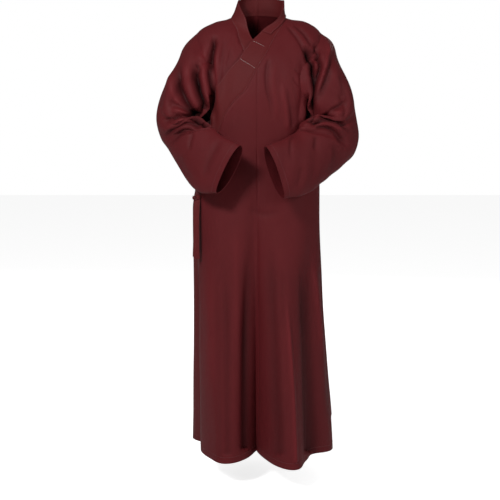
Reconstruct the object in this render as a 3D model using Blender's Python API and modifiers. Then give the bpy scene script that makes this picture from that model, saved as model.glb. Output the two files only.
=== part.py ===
"""Buddhist monk's long robe, worn and hollow: a cross-over gown with wide sleeves, hanging as if on its wearer.

Metres, +Z up. The front faces -Y, and +X is the wearer's left. The origin is where the robe hangs from the
wearer: midway between the two points where the neckline meets the shoulders.

Every body panel, and the collar, is a patch of one reference surface, body(angle, up). angle goes round the
wearer in degrees: 0 in front, 90 at the wearer's left side, 180 behind. up is the distance up the cloth from
the hem. A sleeve is a tube through a table of sections, from the armhole to the cuff.
"""

import bpy
import numpy as np

CLOTH = 0.0018  # wall of one layer of cloth
BAND = 0.0024  # wall of the collar band, which is folded cloth
SEAM_GAP = 0.0003  # between two pieces sewn edge to edge
OVERLAP_LIFT = 0.0060  # how far the crossing layers stand proud of what they cover
UNDER_DROP = 0.0100  # how far inside them the under layer hangs at the hem
UNDER_TUCK = 0.0030  # how far inside them its edge lies on the chest
CLEAR = 0.0120  # between the sleeves and the body's cloth

# ---------------------------------------------------------------- the reference surface

# Heights up the cloth: the underarm, the shoulder tip, the neck seam and the top of the standing collar.
UP_PIT, UP_TIP, UP_NECK, UP_COLLAR = 1.070, 1.335, 1.465, 1.529

# One row for each section round the body, from the hem to the top of the collar. z_front, z_side, z_back: its
# height at the front, the sides and the back. left, right, front, back: its half-widths, as the viewer in
# front sees them. mid_y: its middle. square: 2 is an ellipse, and more is boxier.
BODY_COLUMNS = "up z_front z_side z_back left right front back mid_y square"
BODY_SECTIONS = (
    (0.000, -1.385, -1.385, -1.385, 0.176, 0.251, 0.168, 0.200, 0.010, 2.3),
    (0.250, -1.135, -1.135, -1.135, 0.178, 0.231, 0.162, 0.186, 0.008, 2.3),
    (0.450, -0.935, -0.935, -0.935, 0.181, 0.214, 0.156, 0.173, 0.005, 2.2),
    (0.650, -0.735, -0.735, -0.735, 0.186, 0.203, 0.149, 0.160, 0.002, 2.2),
    (0.800, -0.585, -0.585, -0.585, 0.191, 0.198, 0.142, 0.148, 0.000, 2.2),
    (0.920, -0.465, -0.465, -0.465, 0.195, 0.196, 0.134, 0.134, 0.000, 2.2),
    (1.070, -0.315, -0.315, -0.315, 0.197, 0.196, 0.130, 0.128, 0.000, 2.3),
    (1.190, -0.228, -0.195, -0.213, 0.193, 0.195, 0.131, 0.130, 0.004, 2.3),
    (1.335, -0.130, -0.048, -0.100, 0.182, 0.194, 0.112, 0.118, 0.008, 2.2),
    (1.402, -0.086, -0.018, -0.042, 0.131, 0.149, 0.088, 0.090, 0.008, 2.0),
    (1.465, -0.046, -0.003, 0.008, 0.081, 0.090, 0.060, 0.060, 0.006, 2.0),
    (1.529, 0.015, 0.050, 0.064, 0.057, 0.080, 0.060, 0.056, 0.004, 2.0),
)

# Folds of the body. Each runs from one (angle, up) to another, with a half-width in degrees and a height, out
# (+) or in (-), at both ends. fade0 and fade1 are the shares of its length over which it dies away.
FOLD_COLUMNS = "angle0 up0 wide0 high0 angle1 up1 wide1 high1 fade0 fade1"
BODY_FOLDS = (
    # the skirt's front: the hollow between the legs, the two lobes over them, and the pleats beside
    (-3, 0.86, 10, 0.000, -2, 0.00, 17, -0.108, 0.0, 0.0),
    (-36, 0.70, 14, 0.000, -33, 0.00, 14, 0.016, 0.0, 0.0),
    (27, 0.75, 13, 0.000, 28, 0.00, 12, 0.056, 0.0, 0.0),
    (62, 0.80, 9, 0.000, 64, 0.00, 14, -0.042, 0.0, 0.0),
    # the wearer's right side, where the back flares out behind the front's free edge
    (-116, 0.97, 13, 0.040, -121, 0.00, 11, 0.062, 0.2, 0.0),
    # the skirt's back: a run of hanging flutes
    (112, 0.80, 9, 0.000, 112, 0.00, 10, -0.014, 0.0, 0.0),
    (134, 0.72, 9, 0.000, 132, 0.00, 10, 0.020, 0.0, 0.0),
    (156, 0.85, 10, 0.000, 154, 0.00, 10, -0.024, 0.0, 0.0),
    (179, 0.70, 10, 0.000, 178, 0.00, 12, 0.018, 0.0, 0.0),
    (-152, 0.80, 10, 0.000, -150, 0.00, 11, -0.024, 0.0, 0.0),
    # the chest: the troughs and ridges from the shoulder to the underarm, in front and behind
    (-57, 1.36, 5, -0.004, -50, 0.98, 6, -0.014, 0.3, 0.4),
    (-40, 1.34, 6, 0.004, -40, 0.98, 6, 0.008, 0.4, 0.5),
    (56, 1.36, 5, -0.004, 50, 0.98, 6, -0.014, 0.3, 0.4),
    (38, 1.34, 7, 0.004, 39, 0.98, 6, 0.008, 0.4, 0.5),
    (122, 1.34, 7, -0.004, 128, 0.96, 8, -0.012, 0.4, 0.5),
    (-122, 1.34, 7, -0.004, -128, 0.96, 8, -0.012, 0.4, 0.5),
)
HEM_SWING = 0.10  # how far the hem's level follows its folds: in and up, out and down

# ---------------------------------------------------------------- seams and edges

# The collar bands on the front, from the lower end up to the side of the neck. seam is where the band joins the
# panel and edge is its free edge, both as seen from the front. The outer band crosses to the wearer's right.
BAND_COLUMNS = "seam_x seam_z edge_x edge_z"
OUTER_BAND = (
    (-0.172, -0.552, -0.180, -0.545),
    (-0.150, -0.478, -0.182, -0.470),
    (-0.129, -0.405, -0.171, -0.400),
    (-0.110, -0.345, -0.150, -0.343),
    (-0.090, -0.292, -0.136, -0.288),
    (-0.064, -0.258, -0.122, -0.234),
    (-0.034, -0.229, -0.104, -0.197),
    (-0.018, -0.200, -0.081, -0.163),
    (-0.001, -0.168, -0.053, -0.134),
    (0.019, -0.137, -0.036, -0.107),
    (0.046, -0.087, -0.010, -0.077),
    (0.061, -0.062, 0.020, -0.044),
    (0.078, -0.032, 0.058, -0.012),
    (0.086, -0.013, 0.076, 0.020),
)
UNDER_BAND = (
    (0.050, -0.310, 0.103, -0.285),
    (0.026, -0.255, 0.078, -0.225),
    (0.000, -0.200, 0.051, -0.166),
    (-0.022, -0.157, 0.024, -0.122),
    (-0.043, -0.106, -0.010, -0.082),
    (-0.062, -0.048, -0.029, -0.040),
    (-0.076, -0.021, -0.040, 0.000),
)
CENTRE_SEAM = ((0.00, 3.0), (0.20, 6.0), (0.60, 2.0), (0.90, 0.0), (1.465, 0.0))  # (up, angle)
FREE_EDGE = ((0.00, -98.0), (0.30, -86.0), (0.60, -73.0), (0.90, -66.0))  # of the overlap, (up, angle)
UNDER_EDGE = 20.0  # the angle at which the under layer ends, past the centre
ARMHOLE_WIDE = 40.0  # half the armhole's width, in degrees round the body
ARMHOLE_ROWS, LOW_ROWS, TOP_ROWS = 12, 16, 4
COLUMNS, FRONT_COLUMNS, OVERLAP_COLUMNS = 12, 14, 12
GUARD_LIFT = BAND / 2 + CLOTH / 2 + 0.0008  # between the middles of the band's wall and the guard's
GUARD_START = 17  # the outer band's station where the collar guard begins
GUARD_RIGHT = 9  # how many stations it runs on past the centre back, round the wearer's right
GUARD_LOW = (0.28, 0.08)  # its lower edge, as shares of the band's width, at its front end and round the neck

# ---------------------------------------------------------------- sleeves

# One row for each section after the armhole, down to the cuff. outer is the point on the shoulder, elbow and
# lower edge, inner is the one on the underarm, the crook of the elbow and the upper edge, with x out from the
# middle of the body. front and back are how far the section bulges either side of the line between them.
SLEEVE_COLUMNS = "outer_x outer_y outer_z inner_x inner_y inner_z front back"
SLEEVE_RIGHT = (
    (0.232, 0.002, -0.100, 0.206, -0.016, -0.330, 0.108, 0.104),
    (0.262, 0.012, -0.195, 0.209, -0.052, -0.346, 0.092, 0.088),
    (0.291, 0.030, -0.325, 0.180, -0.101, -0.346, 0.074, 0.062),
    (0.279, 0.020, -0.384, 0.165, -0.122, -0.342, 0.066, 0.046),
    (0.260, -0.008, -0.418, 0.156, -0.134, -0.342, 0.060, 0.034),
    (0.234, -0.056, -0.462, 0.148, -0.145, -0.345, 0.052, 0.026),
    (0.208, -0.106, -0.505, 0.134, -0.162, -0.352, 0.044, 0.024),
    (0.173, -0.165, -0.533, 0.103, -0.197, -0.367, 0.032, 0.026),
    (0.120, -0.220, -0.533, 0.050, -0.250, -0.393, 0.018, 0.028),
)
SLEEVE_LEFT = (
    (0.238, 0.002, -0.092, 0.207, -0.016, -0.330, 0.108, 0.104),
    (0.260, 0.012, -0.195, 0.210, -0.052, -0.346, 0.092, 0.088),
    (0.288, 0.030, -0.325, 0.178, -0.099, -0.346, 0.074, 0.062),
    (0.302, 0.022, -0.392, 0.160, -0.121, -0.344, 0.068, 0.048),
    (0.292, -0.004, -0.430, 0.149, -0.133, -0.346, 0.062, 0.036),
    (0.250, -0.052, -0.468, 0.137, -0.145, -0.350, 0.054, 0.028),
    (0.195, -0.110, -0.510, 0.116, -0.164, -0.358, 0.044, 0.024),
    (0.142, -0.172, -0.540, 0.078, -0.205, -0.374, 0.032, 0.026),
    (0.077, -0.222, -0.548, 0.023, -0.252, -0.394, 0.018, 0.028),
)
SLEEVE_RINGS = 21

# Folds along the sleeves: turn is degrees round the section (0 outer, 90 front, 180 inner), share is along it.
SLEEVE_FOLD_COLUMNS = "turn0 share0 wide0 high0 turn1 share1 wide1 high1 fade0 fade1"
SLEEVE_FOLDS = (
    (70, 0.01, 14, -0.006, 118, 0.34, 16, -0.014, 0.3, 0.3),
    (105, 0.01, 12, 0.004, 146, 0.34, 12, 0.008, 0.3, 0.3),
    (150, 0.06, 26, 0.012, 152, 0.44, 24, 0.046, 0.4, 0.2),
    (255, 0.10, 16, -0.006, 215, 0.40, 18, -0.010, 0.4, 0.4),
)
# Folds round the sleeves at the elbow, that spread from the crook: arc is the share along it, times 360.
ELBOW_FOLD_COLUMNS = "arc0 turn0 wide0 high0 arc1 turn1 wide1 high1 fade0 fade1"
ELBOW_FOLDS = (
    (150, 176, 9, -0.010, 118, 40, 11, -0.004, 0.1, 0.4),
    (168, 176, 8, 0.005, 148, 60, 11, 0.004, 0.1, 0.4),
    (188, 176, 9, -0.009, 176, 50, 11, -0.004, 0.1, 0.4),
    (150, 186, 10, -0.008, 140, 300, 12, -0.004, 0.1, 0.4),
)

# ---------------------------------------------------------------- ties

TIE_WIDE = 0.017
TIE_WALL = 0.0014
# Points along the middle of each tie, from the knot to its end, measured from the knot's centre. face is the
# direction it faces, in degrees round the wearer.
TIE_COLUMNS = "x y z face"
TAIL_FRONT = (
    (-0.0020, -0.0030, -0.0087, -8),
    (-0.0045, -0.0075, -0.0450, -8),
    (-0.0055, -0.0070, -0.1100, -14),
    (-0.0045, -0.0060, -0.1920, -10),
)
TAIL_BACK = (
    (-0.0030, 0.0020, -0.0092, -12),
    (-0.0080, 0.0040, -0.0550, -30),
    (-0.0100, 0.0055, -0.1200, -45),
    (-0.0120, 0.0060, -0.1880, -45),
)
LOOP = (
    (-0.0088, 0.0000, 0.0040, -75),
    (-0.0138, 0.0000, 0.0015, -75),
    (-0.0156, 0.0000, -0.0035, -75),
    (-0.0136, 0.0000, -0.0078, -75),
    (-0.0087, 0.0000, -0.0045, -75),
)
KNOT_SIZE = (0.0085, 0.0070, 0.0090)  # half its width, depth and height
KNOT_OFF = (-0.0072, -0.0055, -0.0080)  # its centre, from the overlap's top corner


def through(knots, values, at):
    """A smooth curve through values, numbers or points, that stand at the given knots."""
    knots, values = np.asarray(knots, float), np.asarray(values, float)
    slope = np.gradient(values, knots, axis=0)
    at = np.clip(at, knots[0], knots[-1])
    i = np.clip(np.searchsorted(knots, at, side="right") - 1, 0, len(knots) - 2)
    trail = (...,) + (None,) * (values.ndim - 1)
    h = (knots[i + 1] - knots[i])[trail]
    t = (at - knots[i])[trail] / h
    start = (1 + 2 * t) * (1 - t) ** 2 * values[i] + t * (1 - t) ** 2 * h * slope[i]
    return start + t**2 * (3 - 2 * t) * values[i + 1] + t**2 * (t - 1) * h * slope[i + 1]


def smooth(low, high, value):
    """0 below low, 1 above high, and a smooth step between."""
    t = np.clip((value - low) / (high - low), 0, 1)
    return t * t * (3 - 2 * t)


def unit(vectors):
    return vectors / np.linalg.norm(vectors, axis=-1, keepdims=True)


def fold_height(table, angle, up):
    """The sum of a table's folds at these places, in metres."""
    total = np.zeros(np.broadcast(angle, up).shape)
    for angle0, up0, wide0, high0, angle1, up1, wide1, high1, fade0, fade1 in table:
        t = (up - up0) / (up1 - up0)
        along = np.clip(t, 0, 1)
        wide = wide0 + (wide1 - wide0) * along
        high = high0 + (high1 - high0) * along
        start = smooth(0, fade0, t) if fade0 else t >= 0
        end = smooth(0, fade1, 1 - t) if fade1 else t <= 1.001
        off = (angle - angle0 - (angle1 - angle0) * along + 180) % 360 - 180
        total = total + high * start * end * np.exp(-((off / wide) ** 2))
    return total


def bare_body(angle, up):
    """The reference surface's point at an angle round the wearer and a distance up the cloth."""
    angle, up = np.broadcast_arrays(np.asarray(angle, float), np.clip(up, 0, UP_COLLAR))
    table = np.array(BODY_SECTIONS)
    section = np.moveaxis(through(table[:, 0], table, up), -1, 0)
    at = dict(zip(BODY_COLUMNS.split(), section))
    s, c = np.sin(np.radians(angle)), np.cos(np.radians(angle))
    across = np.where(s < 0, at["left"], at["right"])
    along = np.where(c > 0, at["front"], at["back"])
    plain = (np.abs(s / across) ** at["square"] + np.abs(c / along) ** at["square"]) ** (-1 / at["square"])
    fold = fold_height(BODY_FOLDS, angle, up)
    z_end = np.where(c > 0, at["z_front"], at["z_back"])
    z = at["z_side"] + (z_end - at["z_side"]) * (plain * c / along) ** 2
    z = z - HEM_SWING * fold * smooth(0.5, 0, up)
    return np.stack([(plain + fold) * s, at["mid_y"] - (plain + fold) * c, z], axis=-1)


def body(angle, up, lift=0.0):
    """The point that stands proud of the reference surface by lift, square to it."""
    angle, up = np.asarray(angle, float), np.asarray(up, float)
    turn, rise = 0.2, 0.002
    round_it = bare_body(angle + turn, up) - bare_body(angle - turn, up)
    up_it = bare_body(angle, up + rise) - bare_body(angle, up - rise)
    return bare_body(angle, up) + unit(np.cross(round_it, up_it)) * np.asarray(lift, float)[..., None]


def clear_of_body(points, side):
    """Sleeve points moved out from the body's middle until they are CLEAR of its cloth, outside the armhole."""
    angle = np.degrees(np.arctan2(points[..., 0], -points[..., 1]))
    up = points[..., 2] - BODY_SECTIONS[0][1]
    for _ in range(6):
        up = np.clip(up + points[..., 2] - bare_body(angle, up)[..., 2], 0, UP_TIP)
    past = np.abs(90 - side * angle) - (side_edge(up, -1) - 90) + 1000 * np.clip(UP_PIT - up, 0, 1)
    need = np.linalg.norm(bare_body(angle, up)[..., :2], axis=-1) + CLEAR * smooth(0, 6, past)
    have = np.linalg.norm(points[..., :2], axis=-1)
    grow = np.where(past > 0, np.maximum(need / have, 1), 1)
    return points * np.stack([grow, grow, np.ones_like(grow)], axis=-1)


def address(x, z, start):
    """The (angle, up) of the surface's point that shows at this x and z from the front, by Newton's method."""
    place = np.array(start, float)
    small = 0.001
    for _ in range(60):
        here = body(*place)[[0, 2]]
        turn = (body(place[0] + small, place[1])[[0, 2]] - here) / small
        rise = (body(place[0], place[1] + small)[[0, 2]] - here) / small
        step = np.linalg.lstsq(np.stack([turn, rise], axis=1), np.array([x, z]) - here, rcond=None)[0]
        place = place + 0.6 * np.clip(step, [-8, -0.04], [8, 0.04])
        place = np.clip(place, [-89, 0.3], [89, UP_COLLAR])
    return place


def band_lines(table, side):
    """The band's seam and free edge as two lists of (angle, up), from its lower end to the centre of the back."""
    lines = []
    for column, top in ((0, UP_NECK), (2, UP_COLLAR)):
        line, place = [], None
        for row in table:
            x, z = row[column : column + 2]
            place = address(x, z, (np.degrees(np.arctan2(x, 0.12)), 1.385 + z) if place is None else place)
            line.append(place)
        line += [(side * turn, top) for turn in (90, 112, 135, 158, 180)]
        line = through(np.arange(len(line)), line, np.linspace(0, len(line) - 1, 400))
        lines.append(np.minimum(line, (np.inf, top)))
    return lines


def over(angle, up):
    """How far the crossing layers stand proud: fully over the wearer's right, and not at all at the left side."""
    return OVERLAP_LIFT * (1 - smooth(45, 88, angle))


def under(angle, up):
    """The under layer lies a little inside the surface where the overlap covers it, and more below the waist."""
    hang = UNDER_DROP * smooth(-88, -62, angle) * (1 - smooth(0.45, 0.95, up))
    return -hang - UNDER_TUCK * smooth(0, 18, angle)


def side_edge(up, face):
    """The angle at which a front panel (face 1) or a back panel (face -1) ends at the side, beside the armhole."""
    middle, half = (UP_PIT + UP_TIP) / 2, (UP_TIP - UP_PIT) / 2
    reach = np.clip(1 - ((up - middle) / half) ** 2, 0, 1)
    return 90 - face * ARMHOLE_WIDE * reach


def panel_rows():
    """Rows up a panel: even to the underarm, then round the armhole, then a few to the neck."""
    turn = np.radians(np.linspace(180, 0, ARMHOLE_ROWS))
    beside = (UP_PIT + UP_TIP) / 2 + (UP_TIP - UP_PIT) / 2 * np.cos(turn)
    low = np.linspace(0, UP_PIT, LOW_ROWS, endpoint=False)
    return np.concatenate([low, beside, np.linspace(UP_TIP, UP_NECK, TOP_ROWS + 1)[1:]])


def back_panel(side, columns):
    """Half of the back, from the centre-back seam to the side seam, armhole and shoulder; and its top's angles."""
    up = panel_rows()[:, None]
    angle = side * (180 + (side_edge(up, -1) - 180) * np.linspace(0, 1, columns + 1))
    return body(angle, up), angle[-1]


def front_panel(side, columns, inner_edge, seam, lift):
    """A front, from its inner edge to the side seam, armhole and shoulder; its top's angles; its first column's up.

    The collar's seam runs along its top, so its rows close up below the seam.
    """
    rows = panel_rows()[:, None]
    across = np.linspace(0, 1, columns + 1)[None, :]
    up = rows + 0 * across
    for _ in range(4):
        inner = inner_edge(up[:, :1])
        angle = inner + (side * side_edge(rows, 1) - inner) * across
        drop = UP_NECK - np.interp(side * angle[-1], side * seam[:, 0], seam[:, 1])
        up = rows - drop * smooth(0.45, UP_NECK, rows)
    return body(angle, up, lift(angle, up)), angle[-1], up[:, 0]


def overlap_panel(columns, climb, seam):
    """The outer layer from its free edge at the wearer's right to the centre seam, below the collar.

    climb is the distance up the cloth of each row at the centre seam, as the front that it is sewn to has them.
    """
    free, centre = np.array(FREE_EDGE), np.array(CENTRE_SEAM)
    share = climb[:, None] / climb[-1]
    across = np.linspace(0, 1, columns + 1)[None, :]
    up = climb[:, None] + 0 * across
    for _ in range(8):
        first = through(free[:, 0], free[:, 1], up[:, :1])
        last = through(centre[:, 0], centre[:, 1], climb)[:, None]
        angle = first + (last - first) * across
        up = share * np.interp(angle[-1], seam[:, 0], seam[:, 1])
        up[:, -1] = climb
    return body(angle, up, over(angle, up)), angle[-1]


def band_stations(side, seam, edge, angles):
    """The (angle, up) of the band's seam and free edge, at the angles where the panels' columns meet the seam."""
    place = np.arange(len(seam))
    share = np.interp(side * angles, side * seam[:, 0], place)
    lines = np.concatenate([seam, edge], axis=1)
    found = np.stack([np.interp(share, place, column) for column in lines.T], axis=-1)
    return np.stack([found[:, :2], found[:, 2:]])


def band_strip(stations, low, high, lift, columns=5):
    """A strip of the collar from share low of its width, at each station, to share high."""
    across = np.linspace(0, 1, columns + 1)[None, :, None]
    low, high = np.broadcast_arrays(low, high, stations[0, :, 0])[:2]
    share = low[:, None, None] + (high - low)[:, None, None] * across
    place = stations[0][:, None] + (stations[1] - stations[0])[:, None] * share
    return body(place[..., 0], place[..., 1], lift(place[..., 0], place[..., 1]))


def normals(grid, around=False):
    """The grid's unit normals, from the directions along its rows and its columns."""
    if around:
        columns = np.roll(grid, -1, axis=1) - np.roll(grid, 1, axis=1)
    else:
        columns = np.gradient(grid, axis=1)
    return unit(np.cross(columns, np.gradient(grid, axis=0)))


def sleeve_grid(side, table, armhole):
    """The sleeve's rings, from the armhole's own points to the cuff."""
    count = len(armhole)
    turn = np.radians(np.arange(count) * 360 / count)[:, None]
    rows = np.array(table)
    outer, inner = rows[:, 0:3] * (side, 1, 1), rows[:, 3:6] * (side, 1, 1)
    middle = (outer + inner) / 2
    first = armhole.mean(axis=0)
    along = np.gradient(np.vstack([first, middle]), axis=0)[1:]
    front = unit(np.cross(outer - inner, along)) * -side
    bulge = np.where(np.sin(turn) > 0, rows[:, 6], rows[:, 7])[..., None]
    rings = middle + (outer - inner) / 2 * np.cos(turn)[..., None] + front * bulge * np.sin(turn)[..., None]
    rings = np.concatenate([armhole[None], np.swapaxes(rings, 0, 1)])
    reach = np.linalg.norm(np.diff(np.vstack([first, middle]), axis=0), axis=1)
    knots = np.concatenate([[0], np.cumsum(reach)]) / reach.sum()
    share = np.linspace(0, 1, SLEEVE_RINGS) ** 0.92
    grid = through(knots, rings, share)
    outward = normals(grid, around=True) * side
    round_it, along_it = np.degrees(turn[:, 0])[None, :], share[:, None]
    height = fold_height(SLEEVE_FOLDS, round_it, along_it) + fold_height(ELBOW_FOLDS, 360 * along_it, round_it)
    grid = grid + outward * (height * smooth(0, 0.06, along_it))[..., None]
    grid[1:] = clear_of_body(grid[1:], side)
    return grid


def drawn_in(points, neighbour, edge, wall=CLOTH):
    """The grid with one edge drawn in from a seam, far enough for the walls either side to stay SEAM_GAP apart.

    neighbour is the next line of points past the seam, which sets how sharply the cloth turns there. A ring is a
    sleeve's first row, which closes on itself.
    """
    points = points.copy()
    line, inner = {
        "ring": (np.s_[0], np.s_[1]),
        "last row": (np.s_[-1], np.s_[-2]),
        "first column": (np.s_[:, 0], np.s_[:, 1]),
        "last column": (np.s_[:, -1], np.s_[:, -2]),
    }[edge]
    if edge == "ring":
        along = unit(np.roll(points[line], -1, axis=0) - np.roll(points[line], 1, axis=0))
    else:
        along = unit(np.gradient(points[line], axis=0))
    inward, outward = points[inner] - points[line], neighbour - points[line]
    inward = unit(inward - along * (inward * along).sum(axis=-1, keepdims=True))
    outward = unit(outward - along * (outward * along).sum(axis=-1, keepdims=True))
    turn = np.arccos(np.clip(-(inward * outward).sum(axis=-1), -1, 1))
    gap = SEAM_GAP / 2 + wall / 2 * np.tan(np.clip(turn, 0, 2.5) / 2)
    points[line] += inward * gap[..., None]
    return points


# ---------------------------------------------------------------- building


def material(name, colour, roughness):
    made = bpy.data.materials.new(name)
    made.use_nodes = True
    shader = made.node_tree.nodes["Principled BSDF"]
    shader.inputs["Base Color"].default_value = (*colour, 1)
    shader.inputs["Roughness"].default_value = roughness
    shader.inputs["Metallic"].default_value = 0.0
    return made


def cloth(name, points, wall, finish, around=False, flip=False):
    """A wall of cloth on a grid of points: an open sheet, or a tube if around, made solid by its thickness."""
    rows, columns = points.shape[:2]
    index = np.arange(rows * columns).reshape(rows, columns)
    left = index if around else index[:, :-1]
    right = np.roll(index, -1, axis=1) if around else index[:, 1:]
    quads = np.stack([left[:-1], right[:-1], right[1:], left[1:]], axis=-1).reshape(-1, 4)
    quads = quads[:, ::-1] if flip else quads
    mesh = bpy.data.meshes.new(name)
    mesh.from_pydata(points.reshape(-1, 3).tolist(), [], quads.tolist())
    mesh.materials.append(finish)
    mesh.shade_smooth()
    piece = bpy.data.objects.new(name, mesh)
    collection.objects.link(piece)
    solid = piece.modifiers.new("Cloth wall", "SOLIDIFY")
    solid.thickness = wall
    solid.offset = 0.0
    return piece


def ribbon(name, table, origin, finish, steps):
    """A flat tie along a curve that is measured from origin."""
    rows = np.array(table) + (*origin, 0)
    at = np.linspace(0, len(rows) - 1, steps + 1)
    line = through(np.arange(len(rows)), rows, at)
    face = np.radians(line[:, 3])
    across = np.stack([np.cos(face), np.sin(face), 0 * face], axis=-1) * TIE_WIDE / 2
    return cloth(name, np.stack([line[:, :3] - across, line[:, :3] + across], axis=1), TIE_WALL, finish)


for old in list(bpy.data.objects):
    bpy.data.objects.remove(old, do_unlink=True)
collection = bpy.data.collections.new("Monk robe")
bpy.context.scene.collection.children.link(collection)
maroon = material("Maroon cloth", (0.105, 0.018, 0.022), 0.85)
dark_maroon = material("Maroon collar cloth", (0.095, 0.016, 0.020), 0.85)

centre = np.array(CENTRE_SEAM)
outer_seam, outer_edge = band_lines(OUTER_BAND, 1)
under_seam, under_edge = band_lines(UNDER_BAND, -1)

grids, tops = {}, {}
grids["back_left"], tops["back_left"] = back_panel(1, COLUMNS)
grids["back_right"], tops["back_right"] = back_panel(-1, COLUMNS)
grids["front_left"], tops["front_left"], climb = front_panel(
    1, COLUMNS, lambda up: through(centre[:, 0], centre[:, 1], up), outer_seam, over
)
grids["front_right"], tops["front_right"], _ = front_panel(
    -1, FRONT_COLUMNS, lambda up: UNDER_EDGE + 0 * up, under_seam, under
)
grids["overlap"], tops["overlap"] = overlap_panel(OVERLAP_COLUMNS, climb, outer_seam)

# The bands' stations stand where the panels' columns meet the seam: front first, then round to the centre back.
outer_angles = np.concatenate([tops["overlap"], tops["front_left"][1:], tops["back_left"][-2::-1]])
under_angles = np.concatenate([tops["front_right"], tops["back_right"][-2::-1]])
outer_stations = band_stations(1, outer_seam, outer_edge, outer_angles)
under_stations = band_stations(-1, under_seam, under_edge, under_angles)
grids["collar_left"] = band_strip(outer_stations, 0, 1, over)
grids["collar_right"] = band_strip(under_stations, 0, 1, under)

beside = slice(LOW_ROWS, LOW_ROWS + ARMHOLE_ROWS)
sewn = dict(grids)
for side, name, table in ((1, "left", SLEEVE_LEFT), (-1, "right", SLEEVE_RIGHT)):
    front, back, sleeve = "front_" + name, "back_" + name, "sleeve_" + name
    armhole = np.concatenate([grids[front][beside, -1][::-1], grids[back][beside, -1][1:-1]])
    grids[sleeve] = sleeve_grid(side, table, armhole)
    next_ring = grids[sleeve][1]
    past_front, past_back = grids[back][:, -2].copy(), grids[front][:, -2].copy()
    past_front[beside] = next_ring[ARMHOLE_ROWS - 1 :: -1]
    past_back[beside] = np.concatenate([next_ring[ARMHOLE_ROWS - 1 :], next_ring[:1]])
    sewn[front] = drawn_in(sewn[front], past_front, "last column")
    sewn[back] = drawn_in(sewn[back], past_back, "last column")
    inside = np.concatenate([grids[front][beside, -2][::-1], grids[back][beside, -2][1:-1]])
    inside[0], inside[ARMHOLE_ROWS - 1] = grids[front][beside.stop, -1], grids[front][beside.start - 1, -1]
    sewn[sleeve] = drawn_in(grids[sleeve], inside, "ring")

for one, other in (("back_left", "back_right"), ("back_right", "back_left")):
    sewn[one] = drawn_in(sewn[one], grids[other][:, 1], "first column")
sewn["front_left"] = drawn_in(sewn["front_left"], grids["overlap"][:, -2], "first column")
sewn["overlap"] = drawn_in(sewn["overlap"], grids["front_left"][:, 1], "last column")

band_left, band_right = grids["collar_left"], grids["collar_right"]
for name, past in (
    ("overlap", band_left[: OVERLAP_COLUMNS + 1]),
    ("front_left", band_left[OVERLAP_COLUMNS : OVERLAP_COLUMNS + COLUMNS + 1]),
    ("back_left", band_left[OVERLAP_COLUMNS + COLUMNS :][::-1]),
    ("front_right", band_right[: FRONT_COLUMNS + 1]),
    ("back_right", band_right[FRONT_COLUMNS:][::-1]),
):
    sewn[name] = drawn_in(sewn[name], past[:, 1], "last row")
past_left = np.concatenate([grids["overlap"][-2], grids["front_left"][-2, 1:], grids["back_left"][-2, -2::-1]])
past_right = np.concatenate([grids["front_right"][-2], grids["back_right"][-2, -2::-1]])
for name, past, other in (
    ("collar_left", past_left, band_right),
    ("collar_right", past_right, band_left),
):
    sewn[name] = drawn_in(sewn[name], past, "first column", BAND)
    sewn[name] = drawn_in(sewn[name], other[-2], "last row", BAND)

# The guard lies on the neck's part of the bands, moved out from their own points.
round_right = under_stations[:, -2 : -2 - GUARD_RIGHT : -1] + (360, 0)
guard_stations = np.concatenate([outer_stations[:, GUARD_START:], round_right], axis=1)
stretch = guard_stations[0, :, 0]
low = GUARD_LOW[1] + (GUARD_LOW[0] - GUARD_LOW[1]) * (1 - smooth(stretch[0], 75, stretch))
sewn["collar_guard"] = band_strip(
    guard_stations, low, 0.985, lambda angle, up: over(angle, up) + GUARD_LIFT
)

FLIPPED = ("back_right", "front_left", "sleeve_right", "collar_right")
for name, grid in sewn.items():
    wall = BAND if name in ("collar_left", "collar_right") else CLOTH
    cloth(name, grid, wall, dark_maroon if "collar" in name else maroon, "sleeve" in name, name in FLIPPED)

knot_centre = grids["overlap"][-1, 0] + KNOT_OFF
ribbon("tie_tail_front", TAIL_FRONT, knot_centre, maroon, 10)
ribbon("tie_tail_back", TAIL_BACK, knot_centre, maroon, 10)
ribbon("tie_loop", LOOP, knot_centre, maroon, 12)
bpy.ops.mesh.primitive_uv_sphere_add(segments=12, ring_count=8, radius=1, location=knot_centre)
knot = bpy.context.object
knot.name = "tie_knot"
knot.scale = KNOT_SIZE
bpy.ops.object.transform_apply(location=False, rotation=False, scale=True)
knot.data.materials.append(maroon)
knot.data.shade_smooth()
for home in list(knot.users_collection):
    home.objects.unlink(knot)
collection.objects.link(knot)
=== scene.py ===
import bmesh
import bpy
import numpy as np
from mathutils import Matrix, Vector


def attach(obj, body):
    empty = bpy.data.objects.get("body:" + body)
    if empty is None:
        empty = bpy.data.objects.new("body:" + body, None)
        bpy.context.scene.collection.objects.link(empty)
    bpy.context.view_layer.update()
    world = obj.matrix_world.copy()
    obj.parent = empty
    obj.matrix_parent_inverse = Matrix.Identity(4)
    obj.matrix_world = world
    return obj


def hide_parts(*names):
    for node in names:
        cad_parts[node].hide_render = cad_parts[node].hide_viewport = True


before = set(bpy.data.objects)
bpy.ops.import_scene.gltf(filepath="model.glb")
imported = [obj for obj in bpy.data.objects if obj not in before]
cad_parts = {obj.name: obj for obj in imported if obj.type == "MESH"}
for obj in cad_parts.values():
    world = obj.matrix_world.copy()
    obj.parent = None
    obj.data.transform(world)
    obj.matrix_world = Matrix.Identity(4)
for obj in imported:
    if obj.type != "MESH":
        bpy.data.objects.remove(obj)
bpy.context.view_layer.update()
print("frame loaded:", len(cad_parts), "nodes")

# Metres, +Z up. The robe's front faces -Y and +X is the wearer's left, as in the frame.
# Every body panel and the collar are patches of one surface, bodyPoint(angle, up). Its angle goes round the
# wearer in degrees, 0 in front and 90 at the left side, and up is the distance up the cloth from the hem.

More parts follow.
